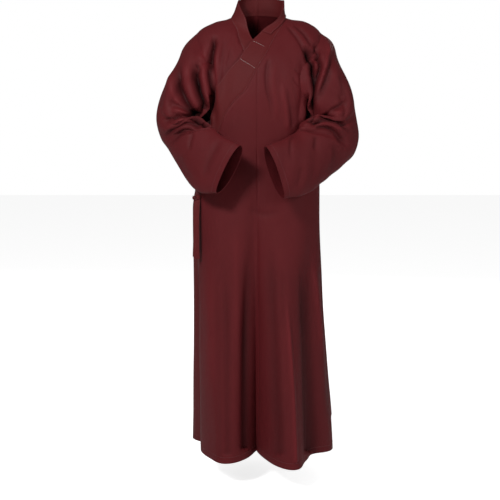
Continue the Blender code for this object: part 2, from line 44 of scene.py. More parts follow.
# the robe's own sizes: the same as the frame's solids, then how it is worn
robe = {
    "cloth": 0.0016,  # wall of one layer
    "band": 0.0022,  # wall of the collar band
    "overlapLift": 0.0060, "liftEnds": (45, 88),  # the crossing layers stand proud by this
    "underDrop": 0.0100,  # the under layer hangs inside by this at the hem
    "dropStarts": (-88, -62), "dropEnds": (0.45, 0.95),  # the angles and heights where that changes
    "underTuck": 0.0030, "tuckEnds": (0, 18),  # and its edge by this as well
    "clear": 0.0120,  # between sleeve and body
    "upPit": 1.070, "upTip": 1.335, "upNeck": 1.465, "upCollar": 1.529,
    "hemSwing": 0.10,  # how far the hem's level follows its folds
    "underEdge": 20.0,  # angle at which the under layer ends
    "armholeWide": 40.0,  # half the armhole, in degrees
}
worn = {
    "trough": 1.7, "ridge": 1.35,  # how strongly the creases below show
    "facing": (0.02, 0.40),  # how far a surface looks forward where they start and reach their full height
    "bridge": 0.45,  # the share of a trough that the crossing layers span beside the armhole
    "bridgeAngles": (-28, -48),  # where that starts and is complete
    "seamDip": 0.0016, "seamWide": 0.0045,  # how deep and far the cloth turns in beside a seam
    "bodyWaves": (0.16, 0.0011, 5), "sleeveWaves": (0.13, 0.0012),  # slow unevenness: length, height, seed
    "waves": 9, "waveStretch": (1.0, 1.0, 0.35),  # how many, and longer down the cloth than across it
    "clear": 0.0145,  # between the creased sleeve and the body
    "foldsFrom": 0.06, "creasesFrom": 0.05, "clearFrom": 0.06,  # shares of the sleeve over which these start
    "seamShare": 0.10,  # and over which the worn armhole blends into it
    "ringPower": 0.92,  # under 1, the sleeve's rings stand closer toward the cuff
}

# sections round the body: up, z in front, at the sides, behind, half-widths, middle, squareness
sectionColumns = "up zFront zSide zBack left right front back midY square"
bodySections = np.array((
    (0.000, -1.385, -1.385, -1.385, 0.176, 0.251, 0.168, 0.200, 0.010, 2.3),
    (0.250, -1.135, -1.135, -1.135, 0.178, 0.231, 0.162, 0.186, 0.008, 2.3),
    (0.450, -0.935, -0.935, -0.935, 0.181, 0.214, 0.156, 0.173, 0.005, 2.2),
    (0.650, -0.735, -0.735, -0.735, 0.186, 0.203, 0.149, 0.160, 0.002, 2.2),
    (0.800, -0.585, -0.585, -0.585, 0.191, 0.198, 0.142, 0.148, 0.000, 2.2),
    (0.920, -0.465, -0.465, -0.465, 0.195, 0.196, 0.134, 0.134, 0.000, 2.2),
    (1.070, -0.315, -0.315, -0.315, 0.197, 0.196, 0.130, 0.128, 0.000, 2.3),
    (1.190, -0.228, -0.195, -0.213, 0.193, 0.195, 0.131, 0.130, 0.004, 2.3),
    (1.335, -0.130, -0.048, -0.100, 0.182, 0.194, 0.112, 0.118, 0.008, 2.2),
    (1.402, -0.086, -0.018, -0.042, 0.131, 0.149, 0.088, 0.090, 0.008, 2.0),
    (1.465, -0.046, -0.003, 0.008, 0.081, 0.090, 0.060, 0.060, 0.006, 2.0),
    (1.529, 0.015, 0.050, 0.064, 0.057, 0.080, 0.060, 0.056, 0.004, 2.0),
))

# folds from one (angle, up) to another: angle, up, half-width in degrees and height at one end, the same at
# the other, and the shares of the length over which they die away at each end
bodyFolds = (
    (-3, 0.86, 10, 0.000, -2, 0.00, 17, -0.108, 0.0, 0.0),
    (-36, 0.70, 14, 0.000, -33, 0.00, 14, 0.016, 0.0, 0.0),
    (27, 0.75, 13, 0.000, 28, 0.00, 12, 0.056, 0.0, 0.0),
    (62, 0.80, 9, 0.000, 64, 0.00, 14, -0.042, 0.0, 0.0),
    (-116, 0.97, 13, 0.040, -121, 0.00, 11, 0.062, 0.2, 0.0),
    (112, 0.80, 9, 0.000, 112, 0.00, 10, -0.014, 0.0, 0.0),
    (134, 0.72, 9, 0.000, 132, 0.00, 10, 0.020, 0.0, 0.0),
    (156, 0.85, 10, 0.000, 154, 0.00, 10, -0.024, 0.0, 0.0),
    (179, 0.70, 10, 0.000, 178, 0.00, 12, 0.018, 0.0, 0.0),
    (-152, 0.80, 10, 0.000, -150, 0.00, 11, -0.024, 0.0, 0.0),
    (-57, 1.36, 5, -0.004, -50, 0.98, 6, -0.014, 0.3, 0.4),
    (-40, 1.34, 6, 0.004, -40, 0.98, 6, 0.008, 0.4, 0.5),
    (56, 1.36, 5, -0.004, 50, 0.98, 6, -0.014, 0.3, 0.4),
    (38, 1.34, 7, 0.004, 39, 0.98, 6, 0.008, 0.4, 0.5),
    (122, 1.34, 7, -0.004, 128, 0.96, 8, -0.012, 0.4, 0.5),
    (-122, 1.34, 7, -0.004, -128, 0.96, 8, -0.012, 0.4, 0.5),
)

# the collar bands on the front: seam x, seam z, free edge x, free edge z, from the lower end up
outerBand = (
    (-0.172, -0.552, -0.180, -0.545),
    (-0.150, -0.478, -0.182, -0.470),
    (-0.129, -0.405, -0.171, -0.400),
    (-0.110, -0.345, -0.150, -0.343),
    (-0.090, -0.292, -0.136, -0.288),
    (-0.064, -0.258, -0.122, -0.234),
    (-0.034, -0.229, -0.104, -0.197),
    (-0.018, -0.200, -0.081, -0.163),
    (-0.001, -0.168, -0.053, -0.134),
    (0.019, -0.137, -0.036, -0.107),
    (0.046, -0.087, -0.010, -0.077),
    (0.061, -0.062, 0.020, -0.044),
    (0.078, -0.032, 0.058, -0.012),
    (0.086, -0.013, 0.076, 0.020),
)
underBand = (
    (0.050, -0.310, 0.103, -0.285),
    (0.026, -0.255, 0.078, -0.225),
    (0.000, -0.200, 0.051, -0.166),
    (-0.022, -0.157, 0.024, -0.122),
    (-0.043, -0.106, -0.010, -0.082),
    (-0.062, -0.048, -0.029, -0.040),
    (-0.076, -0.021, -0.040, 0.000),
)
centreSeam = np.array(((0.00, 3.0), (0.20, 6.0), (0.60, 2.0), (0.90, 0.0), (1.465, 0.0)))  # up, angle
freeEdge = np.array(((0.00, -98.0), (0.30, -86.0), (0.60, -73.0), (0.90, -66.0)))  # the overlap's up, angle

# sleeve sections after the armhole: outer point, inner point, bulge in front and behind
sleeveRight = np.array((
    (0.232, 0.002, -0.100, 0.206, -0.016, -0.330, 0.108, 0.104),
    (0.262, 0.012, -0.195, 0.209, -0.052, -0.346, 0.092, 0.088),
    (0.291, 0.030, -0.325, 0.180, -0.101, -0.346, 0.074, 0.062),
    (0.279, 0.020, -0.384, 0.165, -0.122, -0.342, 0.066, 0.046),
    (0.260, -0.008, -0.418, 0.156, -0.134, -0.342, 0.060, 0.034),
    (0.234, -0.056, -0.462, 0.148, -0.145, -0.345, 0.052, 0.026),
    (0.208, -0.106, -0.505, 0.134, -0.162, -0.352, 0.044, 0.024),
    (0.173, -0.165, -0.533, 0.103, -0.197, -0.367, 0.032, 0.026),
    (0.120, -0.220, -0.533, 0.050, -0.250, -0.393, 0.018, 0.028),
))
sleeveLeft = np.array((
    (0.238, 0.002, -0.092, 0.207, -0.016, -0.330, 0.108, 0.104),
    (0.260, 0.012, -0.195, 0.210, -0.052, -0.346, 0.092, 0.088),
    (0.288, 0.030, -0.325, 0.178, -0.099, -0.346, 0.074, 0.062),
    (0.302, 0.022, -0.392, 0.160, -0.121, -0.344, 0.068, 0.048),
    (0.292, -0.004, -0.430, 0.149, -0.133, -0.346, 0.062, 0.036),
    (0.250, -0.052, -0.468, 0.137, -0.145, -0.350, 0.054, 0.028),
    (0.195, -0.110, -0.510, 0.116, -0.164, -0.358, 0.044, 0.024),
    (0.142, -0.172, -0.540, 0.078, -0.205, -0.374, 0.032, 0.026),
    (0.077, -0.222, -0.548, 0.023, -0.252, -0.394, 0.018, 0.028),
))
# folds along the sleeve: turn round it, share along it
sleeveFolds = (
    (70, 0.01, 14, -0.006, 118, 0.34, 16, -0.014, 0.3, 0.3),
    (105, 0.01, 12, 0.004, 146, 0.34, 12, 0.008, 0.3, 0.3),
    (150, 0.12, 24, 0.004, 152, 0.46, 24, 0.050, 0.5, 0.2),
    (255, 0.10, 16, -0.006, 215, 0.40, 18, -0.010, 0.4, 0.4),
)
# folds round it at the elbow: 360 times the share along it, then the turn
elbowFolds = (
    (150, 176, 9, -0.010, 118, 40, 11, -0.004, 0.1, 0.4),
    (168, 176, 8, 0.005, 148, 60, 11, 0.004, 0.1, 0.4),
    (188, 176, 9, -0.009, 176, 50, 11, -0.004, 0.1, 0.4),
    (150, 186, 10, -0.008, 140, 300, 12, -0.004, 0.1, 0.4),
)

# how finely each piece is gridded
mesh = {
    "skirtRows": 120, "chestRows": 64, "chest": 0.84, "armholeRows": 84, "topRows": 32, "columns": 120,
    "backColumns": 66, "sleeveRings": 190, "bandColumns": 16,
}

# Soft troughs and ridges of the worn cloth, over and above the folds of the solids. Each stroke is a path as
# seen from the front, in centimetres on the upright plane through the wearer's middle (x, z, x, z ...), then
# the half-widths left and right of the path going along it, its height in millimetres (- is a trough) and the
# shares of its length over which it fades in and out.
eye = np.array((-0.0222, -3.30, -0.304))  # where the front view is taken from
chestCreases = (
    # viewer's left: the trough beside the armhole and the ridges either side
    ((-13.3, -5.4, -13.9, -8.8, -14.6, -12.7, -14.6, -17.7, -14, -22, -14, -27, -15.1, -31.6),
     1.1, 0.6, -10, 0.15, 0.1),
    ((-11.9, -7.2, -12.8, -13.4, -12.9, -19.5, -12.6, -25.7, -13.5, -31.3), 1.1, 1, 4, 0.3, 0.3),
    ((-16.1, -6.6, -16.6, -11.8, -16.6, -18, -15.7, -24.2, -15.1, -28.8), 1, 1.1, 5, 0.3, 0.3),
    ((-6, -4.2, -5.2, -9.1), 0.5, 0.5, -1.5, 0.3, 0.3),
    ((-7.8, -8.8, -9.1, -14, -10.3, -18.3), 0.6, 0.6, -1.5, 0.3, 0.3),
    ((-9.7, -5.4, -11, -12.1, -11.6, -20.8, -12, -28.2), 0.9, 0.7, -2, 0.3, 0.3),
    # viewer's right: pleats that hang from the collar, then the folds toward the armhole
    ((3.8, -12.4, 2.8, -16.7, 3, -22, 4.2, -27, 4.7, -32.6), 0.8, 0.5, -2.6, 0.15, 0.4),
    ((5.6, -13.4, 5, -19.5, 5.9, -27, 6.6, -33.5), 1.1, 1.1, 2, 0.3, 0.3),
    ((7.7, -19.5, 9, -28.8, 9.9, -36), 0.7, 0.8, 3, 0.3, 0.2),
    ((9.4, -20.8, 10.7, -28.8, 11.3, -35.4), 0.8, 0.6, -2.8, 0.3, 0.2),
    ((12, -14, 13, -22, 13.6, -28.8, 13.9, -33.8), 1.2, 1.2, 3, 0.3, 0.2),
    ((8.9, -2.6, 11.5, -5.4, 13.7, -8.8, 15.9, -14), 0.6, 0.5, -3, 0.2, 0.3),
    ((10.2, -2, 14, -4.8, 16.5, -8.4, 18.1, -12.7), 0.7, 0.5, -4, 0.3, 0.3),
    ((11.5, -15.8, 14, -19.2), 0.4, 0.4, -1.6, 0.3, 0.3),
    ((10.9, -18.6, 13.4, -22.3), 0.4, 0.4, -1.4, 0.3, 0.3),
)
sleeveCreases = (
    # viewer's left sleeve: two deep troughs down the upper arm
    ((-24, -12.5, -24.4, -17.2, -23.9, -22, -22.2, -26.2, -19.4, -30.1, -16.4, -32.6),
     0.9, 1.3, -10, 0.35, 0.1),
    ((-27.2, -13.4, -26.9, -21.1, -25.4, -25.7, -22.9, -29.4, -19.5, -31.6), 1.2, 1.3, 5, 0.3, 0.3),
    ((-19.3, -12.7, -18.7, -18.6, -17.9, -22.3, -16.6, -26.2, -15.5, -30.9, -15.1, -34.4),
     0.8, 1.9, -15, 0.3, 0.05),
    ((-21.9, -12.7, -21, -19.5, -19.5, -25.1, -17, -29.8), 1.4, 1.6, 6, 0.3, 0.2),
    ((-18.9, -14.3, -17.9, -16.4, -18.8, -18.6), 0.4, 0.4, -5, 0.2, 0.2),
    ((-29.4, -18.9, -30.4, -25.1, -30.8, -29.4), 1.2, 1.2, -3, 0.3, 0.3),
    # the creases that fan out from the crook of the elbow
    ((-16.4, -32.6, -19.4, -30.9, -22.8, -28.7, -25.4, -27, -28.6, -24.9), 1, 0.6, -6, 0.1, 0.4),
    ((-18.6, -31.5, -22.3, -29.8, -25.5, -29, -28.6, -28.8), 0.9, 0.8, 4, 0.2, 0.4),
    ((-16.8, -33.2, -20.7, -31.3, -24.1, -30.4, -26.7, -31.3, -29.8, -32.6), 0.8, 0.6, -7, 0.1, 0.3),
    ((-19.2, -32.9, -23, -31.7, -26.1, -33.2, -29.3, -35.4), 0.8, 0.8, 4, 0.2, 0.4),
    ((-17.3, -34.3, -21.6, -32.7, -24.2, -33.3, -27.2, -35.4, -29.3, -38.2), 0.9, 0.6, -7, 0.1, 0.3),
    ((-18.9, -35.4, -23, -35.4, -25.8, -37.6, -27.5, -40.7), 0.8, 0.7, -4, 0.2, 0.4),
    ((-20.2, -35.7, -21.1, -38.8, -21.5, -42.3), 0.7, 0.6, -2.2, 0.2, 0.4),
    ((-11, -37.6, -13.6, -41.3, -15.8, -46, -16.8, -51.4), 1.3, 1.1, -2, 0.3, 0.3),
    ((-25.6, -42, -23.7, -47, -20, -52.1), 1.2, 1.2, -2, 0.3, 0.3),
    # viewer's right sleeve: the trough beside the armhole and those on the upper arm
    ((14.5, -8.4, 15.8, -11.8, 16.8, -15.2, 17.5, -19.5, 17.4, -24.5, 16.8, -28.8, 16, -33.2),
     1.2, 0.8, -14, 0.2, 0.08),
    ((17.5, -7.5, 18.6, -11.8, 19.5, -15.2, 19, -18.6, 18, -22.3), 0.8, 0.6, -8, 0.25, 0.3),
    ((16.1, -7.2, 17.4, -10.9, 18.2, -15.2, 18.1, -18.9), 0.6, 0.7, 5, 0.3, 0.3),
    ((21.1, -6, 22.4, -10, 21.8, -14.3, 19.8, -19.5, 18.3, -24.2), 0.8, 0.7, 5, 0.3, 0.3),
    ((21.8, -10.2, 22.8, -13.4, 22, -17.6, 20.3, -22.6, 18.2, -27), 1.2, 0.7, -6, 0.3, 0.3),
    ((25.9, -16.4, 26.9, -22, 26.3, -27), 1.2, 1, -3, 0.3, 0.3),
    # the creases that fan out from its crook
    ((16.3, -33.7, 19.8, -31.3, 23.2, -29.1, 26.6, -27, 29.4, -24.5), 0.6, 1, -6, 0.1, 0.4),
    ((17.3, -31.6, 21, -30.1, 24.8, -29.4, 27.9, -30.1), 0.9, 0.9, 4, 0.2, 0.3),
    ((17.2, -33, 20.7, -31.7, 24.1, -32.2, 27.6, -33.9, 30.5, -36.9), 0.6, 0.9, -7, 0.1, 0.3),
    ((18.5, -33.3, 22.3, -33, 25.5, -34.1, 28.3, -36.6), 0.8, 0.8, 4, 0.2, 0.3),
    ((18.1, -34.3, 22, -34.3, 24.5, -35.7, 26.8, -38.2, 29.3, -40.4), 0.6, 0.9, -6, 0.1, 0.3),
    ((13.5, -36, 11, -37.6, 10.6, -41.3, 10.7, -45.7), 0.6, 0.6, -2.6, 0.3, 0.4),
    ((18.6, -36.9, 18.3, -42), 0.7, 0.6, -2.6, 0.2, 0.4),
    ((23.9, -38.2, 24.9, -42, 24.3, -46, 21.8, -50.2), 1.2, 1.1, -3, 0.3, 0.3),
    ((14.5, -46, 13, -53.3), 0.9, 0.9, -1.6, 0.3, 0.3),
)
skirtCreases = (
    # the hollow between the legs, and the long folds that hang either side
    ((-2.5, -64, -3.2, -92, -3.5, -118, -3.5, -139), 1.7, 1.5, -9, 0.5, 0),
    ((-7, -61.9, -6.7, -86.1, -6.4, -115.7), 1.2, 1.2, 2, 0.3, 0.4),
    ((-10.5, -74.8, -10, -102.5, -9.4, -140.9), 1.4, 1.6, -3.6, 0.4, 0),
    ((-13.1, -77, -12.9, -105.8, -12.4, -141.9), 1, 1, -1.6, 0.4, 0),
    ((-15.6, -68.3, -15.1, -95.9, -14.6, -129.1), 2, 2, 3, 0.4, 0.3),
    ((-18.1, -84.5, -18.5, -112.4, -18.1, -133.1), 0.5, 0.5, 1.5, 0.3, 0),
    ((4.2, -66.1, 4.9, -89.3, 5.9, -115.7, 7, -140.9), 2, 2, -4, 0.3, 0),
    ((8.3, -74.8, 8.8, -104.1), 1.1, 1.1, -1.6, 0.4, 0.4),
    ((9.2, -86, 10.6, -104, 11.8, -122, 12.7, -143.3), 0.6, 0.7, 5.5, 0.3, 0),
    ((14.4, -70, 15.5, -99.2, 16.6, -126, 17.2, -139.9), 2.0, 1.4, -8, 0.3, 0),
    ((17.9, -75.7, 19, -86.1, 20.3, -96.5, 22.3, -112), 0.8, 0.8, 4, 0.3, 0.3),
    ((19.8, -75.7, 21.2, -89.3, 23, -104.1), 0.7, 0.7, -3, 0.3, 0.3),
    ((-3.2, -59.4, 1.6, -61.6, 8.6, -60.6), 1, 1, -1.4, 0.3, 0.3),
)


# working surfaces

def throughPoints(knots, values, at):
    # a smooth curve through values that stand at the knots, with slopes from their neighbours
    knots, values = np.asarray(knots, float), np.asarray(values, float)
    slope = np.gradient(values, knots, axis=0)
    at = np.clip(at, knots[0], knots[-1])
    i = np.clip(np.searchsorted(knots, at, side="right") - 1, 0, len(knots) - 2)
    trail = (...,) + (None,) * (values.ndim - 1)
    h = (knots[i + 1] - knots[i])[trail]
    t = (at - knots[i])[trail] / h
    start = (1 + 2 * t) * (1 - t) ** 2 * values[i] + t * (1 - t) ** 2 * h * slope[i]
    return start + t**2 * (3 - 2 * t) * values[i + 1] + t**2 * (t - 1) * h * slope[i + 1]


def smoothStep(low, high, value):
    t = np.clip((value - low) / (high - low), 0, 1)
    return t * t * (3 - 2 * t)


def unit(vectors):
    return vectors / np.maximum(np.linalg.norm(vectors, axis=-1, keepdims=True), 1e-12)


def foldHeight(table, angle, up):
    # the sum of bell-shaped folds, each along a straight line in (angle, up)
    total = np.zeros(np.broadcast(angle, up).shape)
    for angle0, up0, wide0, high0, angle1, up1, wide1, high1, fade0, fade1 in table:
        t = (up - up0) / (up1 - up0)
        along = np.clip(t, 0, 1)
        wide = wide0 + (wide1 - wide0) * along
        high = high0 + (high1 - high0) * along
        start = smoothStep(0, fade0, t) if fade0 else t >= 0
        end = smoothStep(0, fade1, 1 - t) if fade1 else t <= 1.001
        off = (angle - angle0 - (angle1 - angle0) * along + 180) % 360 - 180
        total = total + high * start * end * np.exp(-((off / wide) ** 2))
    return total


def bareBody(angle, up):
    # a superellipse round the wearer, its radius raised by the folds, its height from front, side or back
    angle, up = np.broadcast_arrays(np.asarray(angle, float), np.clip(up, 0, robe["upCollar"]))
    section = np.moveaxis(throughPoints(bodySections[:, 0], bodySections, up), -1, 0)
    at = dict(zip(sectionColumns.split(), section))
    s, c = np.sin(np.radians(angle)), np.cos(np.radians(angle))
    across = np.where(s < 0, at["left"], at["right"])
    along = np.where(c > 0, at["front"], at["back"])
    plain = (np.abs(s / across) ** at["square"] + np.abs(c / along) ** at["square"]) ** (-1 / at["square"])
    fold = foldHeight(bodyFolds, angle, up)
    zEnd = np.where(c > 0, at["zFront"], at["zBack"])
    z = at["zSide"] + (zEnd - at["zSide"]) * (plain * c / along) ** 2
    z = z - robe["hemSwing"] * fold * smoothStep(0.5, 0, up)
    return np.stack([(plain + fold) * s, at["midY"] - (plain + fold) * c, z], axis=-1)


def bodyNormal(angle, up):
    roundIt = bareBody(angle + 0.2, up) - bareBody(angle - 0.2, up)
    upIt = bareBody(angle, up + 0.002) - bareBody(angle, up - 0.002)
    return unit(np.cross(roundIt, upIt))


def bodyPoint(angle, up, lift=0.0):
    # the point that stands proud of the surface by lift, square to it
    angle, up = np.asarray(angle, float), np.asarray(up, float)
    return bareBody(angle, up) + bodyNormal(angle, up) * np.asarray(lift, float)[..., None]


def over(angle, up):
    return robe["overlapLift"] * (1 - smoothStep(*robe["liftEnds"], angle))


def under(angle, up):
    hang = robe["underDrop"] * smoothStep(*robe["dropStarts"], angle)
    hang = hang * (1 - smoothStep(*robe["dropEnds"], up))
    return -hang - robe["underTuck"] * smoothStep(*robe["tuckEnds"], angle)


def sideEdge(up, face):
    # the angle at which a front (1) or a back (-1) ends beside the lens-shaped armhole
    middle, half = (robe["upPit"] + robe["upTip"]) / 2, (robe["upTip"] - robe["upPit"]) / 2
    return 90 - face * robe["armholeWide"] * np.clip(1 - ((up - middle) / half) ** 2, 0, 1)


def panelRows():
    turn = np.radians(np.linspace(180, 0, mesh["armholeRows"]))
    beside = (robe["upPit"] + robe["upTip"]) / 2 + (robe["upTip"] - robe["upPit"]) / 2 * np.cos(turn)
    skirt = np.linspace(0, mesh["chest"], mesh["skirtRows"], endpoint=False)
    chest = np.linspace(mesh["chest"], robe["upPit"], mesh["chestRows"], endpoint=False)
    top = np.linspace(robe["upTip"], robe["upNeck"], mesh["topRows"] + 1)[1:]
    return np.concatenate([skirt, chest, beside, top])


def address(x, z, start):
    # Newton's method for the (angle, up) that shows at x and z from straight in front
    place = np.array(start, float)
    small = 0.001
    for _ in range(60):
        here = bodyPoint(*place)[[0, 2]]
        turn = (bodyPoint(place[0] + small, place[1])[[0, 2]] - here) / small
        rise = (bodyPoint(place[0], place[1] + small)[[0, 2]] - here) / small
        step = np.linalg.lstsq(np.stack([turn, rise], axis=1), np.array([x, z]) - here, rcond=None)[0]
        last, place = place, place + 0.6 * np.clip(step, [-8, -0.04], [8, 0.04])
        place = np.clip(place, [-89, 0.3], [89, robe["upCollar"]])
        if np.abs(place - last).max() < 1e-6:
            break
    return place


def bandLines(table, side):
    # the band's seam and free edge as (angle, up), from its lower end to the centre of the back
    lines = []
    for column, top in ((0, robe["upNeck"]), (2, robe["upCollar"])):
        line, place = [], None
        for row in table:
            x, z = row[column : column + 2]
            place = address(x, z, (np.degrees(np.arctan2(x, 0.12)), 1.385 + z) if place is None else place)
            line.append(place)
        line += [(side * turn, top) for turn in (90, 112, 135, 158, 180)]
        line = throughPoints(np.arange(len(line)), line, np.linspace(0, len(line) - 1, 400))
        lines.append(np.minimum(line, (np.inf, top)))
    return lines


# each panel as its places (angle, up, lift) on a grid, rows from the hem to the neck

def backPlaces(side, columns):
    up = panelRows()[:, None] + np.zeros((1, columns + 1))
    angle = side * (180 + (sideEdge(up, -1) - 180) * np.linspace(0, 1, columns + 1))
    return np.stack([angle, up, 0 * up], axis=-1)


def frontPlaces(side, columns, innerEdge, seam, lift):
    rows = panelRows()[:, None]
    across = np.linspace(0, 1, columns + 1)[None, :]
    up = rows + 0 * across
    for _ in range(4):
        inner = innerEdge(up[:, :1])
        angle = inner + (side * sideEdge(rows, 1) - inner) * across
        drop = robe["upNeck"] - np.interp(side * angle[-1], side * seam[:, 0], seam[:, 1])
        up = rows - drop * smoothStep(0.45, robe["upNeck"], rows)
    return np.stack([angle, up, lift(angle, up)], axis=-1)


def overlapPlaces(columns, climb, seam):
    share = climb[:, None] / climb[-1]
    across = np.linspace(0, 1, columns + 1)[None, :]
    up = climb[:, None] + 0 * across
    for _ in range(8):
        first = throughPoints(freeEdge[:, 0], freeEdge[:, 1], up[:, :1])
        last = throughPoints(centreSeam[:, 0], centreSeam[:, 1], climb)[:, None]
        angle = first + (last - first) * across
        up = share * np.interp(angle[-1], seam[:, 0], seam[:, 1])
        up[:, -1] = climb
    return np.stack([angle, up, over(angle, up)], axis=-1)


def bandStations(side, seam, edge, angles):
    place = np.arange(len(seam))
    share = np.interp(side * angles, side * seam[:, 0], place)
    lines = np.concatenate([seam, edge], axis=1)
    found = np.stack([np.interp(share, place, column) for column in lines.T], axis=-1)
    return np.stack([found[:, :2], found[:, 2:]])


def bandPlaces(stations, low, high, lift):
    across = np.linspace(0, 1, mesh["bandColumns"] + 1)[None, :, None]
    low, high = np.broadcast_arrays(low, high, stations[0, :, 0])[:2]
    share = low[:, None, None] + (high - low)[:, None, None] * across
    place = stations[0][:, None] + (stations[1] - stations[0])[:, None] * share
    angle, up = place[..., 0], place[..., 1]
    return np.stack([angle, up, lift(angle, up)], axis=-1)


def gridNormals(grid, around=False):
    columns = np.roll(grid, -1, axis=1) - np.roll(grid, 1, axis=1) if around else np.gradient(grid, axis=1)
    return unit(np.cross(columns, np.gradient(grid, axis=0)))


def clearOfBody(points, side, clear):
    # sleeve points moved out from the body's middle until they clear its cloth, outside the armhole
    angle = np.degrees(np.arctan2(points[..., 0], -points[..., 1]))
    up = points[..., 2] - bodySections[0][1]
    for _ in range(6):
        up = np.clip(up + points[..., 2] - bareBody(angle, up)[..., 2], 0, robe["upTip"])
    past = np.abs(90 - side * angle) - (sideEdge(up, -1) - 90) + 1000 * np.clip(robe["upPit"] - up, 0, 1)
    need = np.linalg.norm(bareBody(angle, up)[..., :2], axis=-1) + clear * smoothStep(0, 6, past)
    have = np.linalg.norm(points[..., :2], axis=-1)
    grow = np.where(past > 0, np.maximum(need / have, 1), 1)
    return points * np.stack([grow, grow, np.ones_like(grow)], axis=-1)


# creases

def seenFrom(points):
    # where each point shows from the eye, on the upright plane through the wearer's middle, in centimetres
    share = -eye[1] / (points[..., 1] - eye[1])
    across = eye[0] + (points[..., 0] - eye[0]) * share
    high = eye[2] + (points[..., 2] - eye[2]) * share
    return np.stack([across, high], axis=-1) * 100


def creaseHeight(seen, strokes):
    # for each stroke: the distance to its smoothed path in the view, a bell either side, faded at its ends
    total = np.zeros(seen.shape[:-1])
    for path, wideLeft, wideRight, high, fadeIn, fadeOut in strokes:
        corners = np.array(path, float).reshape(-1, 2)
        steps = 4 * (len(corners) - 1) + 1
        line = throughPoints(np.arange(len(corners)), corners, np.linspace(0, len(corners) - 1, steps))
        reach = 3 * max(wideLeft, wideRight)
        near = ((seen > line.min(axis=0) - reach) & (seen < line.max(axis=0) + reach)).all(axis=-1)
        spot = seen[near]
        if len(spot) == 0:
            continue
        best = np.full(len(spot), 1e9)
        side, share = np.zeros(len(spot)), np.zeros(len(spot))
        for k in range(steps - 1):
            start, run = line[k], line[k + 1] - line[k]
            t = np.clip(((spot - start) * run).sum(axis=-1) / (run * run).sum(), 0, 1)
            off = spot - start - t[:, None] * run
            distance = np.hypot(off[:, 0], off[:, 1])
            closer = distance < best
            best = np.where(closer, distance, best)
            side = np.where(closer, run[0] * off[:, 1] - run[1] * off[:, 0], side)
            share = np.where(closer, (k + t) / (steps - 1), share)
        wide = np.where(side > 0, wideLeft, wideRight)
        fade = smoothStep(0, max(fadeIn, 1e-3), share) * smoothStep(0, max(fadeOut, 1e-3), 1 - share)
        high = high * (worn["trough"] if high < 0 else worn["ridge"])
        total[near] += high / 1000 * fade * np.exp(-((best / wide) ** 2))
    return total


def unevenness(points, size, high, seed):
    # slow random waves
    rng = np.random.default_rng(seed)
    total = np.zeros(points.shape[:-1])
    for _ in range(worn["waves"]):
        way = rng.normal(size=3) * worn["waveStretch"] * 2 * np.pi / size
        total += np.sin(points @ way + rng.uniform(0, 6.3))
    return total * high / 3


# small hanging folds on the sides that the front view doesn't show: angle, up at both ends as above
hiddenFolds = (
    (100, 0.98, 5, 0.000, 99, 0.10, 6, 0.0050, 0.2, 0.0),
    (122, 0.90, 4, 0.000, 123, 0.02, 5, -0.0045, 0.3, 0.0),
    (144, 1.02, 5, 0.0035, 143, 0.20, 6, 0.0040, 0.3, 0.3),
    (167, 0.88, 4, -0.0030, 166, 0.00, 6, -0.0050, 0.3, 0.0),
    (-171, 1.00, 5, 0.0030, -170, 0.12, 6, 0.0045, 0.3, 0.2),
    (-138, 0.92, 5, 0.0030, -137, 0.00, 6, 0.0050, 0.3, 0.0),
    (-161, 0.80, 4, -0.0030, -160, 0.00, 5, -0.0040, 0.3, 0.0),
    (84, 0.90, 4, -0.0030, 82, 0.05, 5, -0.0045, 0.3, 0.2),
    (-104, 0.72, 4, -0.0030, -104, 0.00, 5, -0.0045, 0.3, 0.0),
    (135, 1.38, 5, -0.0050, 128, 1.04, 6, -0.0090, 0.3, 0.3),
    (146, 1.34, 4, 0.0040, 140, 1.02, 5, 0.0050, 0.3, 0.4),
    (160, 1.30, 5, -0.0030, 158, 0.96, 6, -0.0035, 0.3, 0.4),
    (-135, 1.38, 5, -0.0050, -127, 1.05, 6, -0.0090, 0.3, 0.3),
    (-147, 1.34, 4, 0.0040, -141, 1.00, 5, 0.0055, 0.3, 0.4),
    (-163, 1.28, 5, -0.0030, -160, 0.98, 6, -0.0035, 0.3, 0.4),
)
# the same for the back of each sleeve: 360 times the share along it, then the turn
hiddenElbow = (
    (150, 195, 7, -0.0080, 112, 300, 9, -0.0035, 0.1, 0.4),
    (166, 192, 6, 0.0050, 134, 310, 9, 0.0035, 0.1, 0.4),
    (180, 192, 7, -0.0080, 160, 310, 9, -0.0040, 0.1, 0.4),
    (196, 196, 7, 0.0040, 186, 300, 8, 0.0030, 0.1, 0.4),
    (210, 192, 8, -0.0060, 212, 290, 9, -0.0030, 0.1, 0.4),
    (60, 260, 9, -0.0040, 118, 232, 9, -0.0060, 0.3, 0.3),
    (52, 300, 10, 0.0040, 120, 262, 10, 0.0045, 0.3, 0.3),
    (70, 338, 10, -0.0030, 128, 300, 10, -0.0045, 0.3, 0.3),
    (240, 330, 8, -0.0025, 330, 320, 9, -0.0030, 0.3, 0.3),
    (236, 286, 8, 0.0025, 332, 284, 9, 0.0025, 0.3, 0.3),
)


# at the crook of the elbow the sleeve's cloth is drawn in over the front
crook = {
    "middle": np.array((17.4, -30.2)), "reach": np.array((4.5, 6.5)),  # where this shows, in centimetres
    "shift": np.array((-0.050, -0.024, -0.004)),
    "inner": (0.3, -0.4), "front": (-0.6, 0.0),  # cosine and sine of the turn where it starts and is complete
    "along": (0.02, 0.10),  # the shares along the sleeve, likewise
}


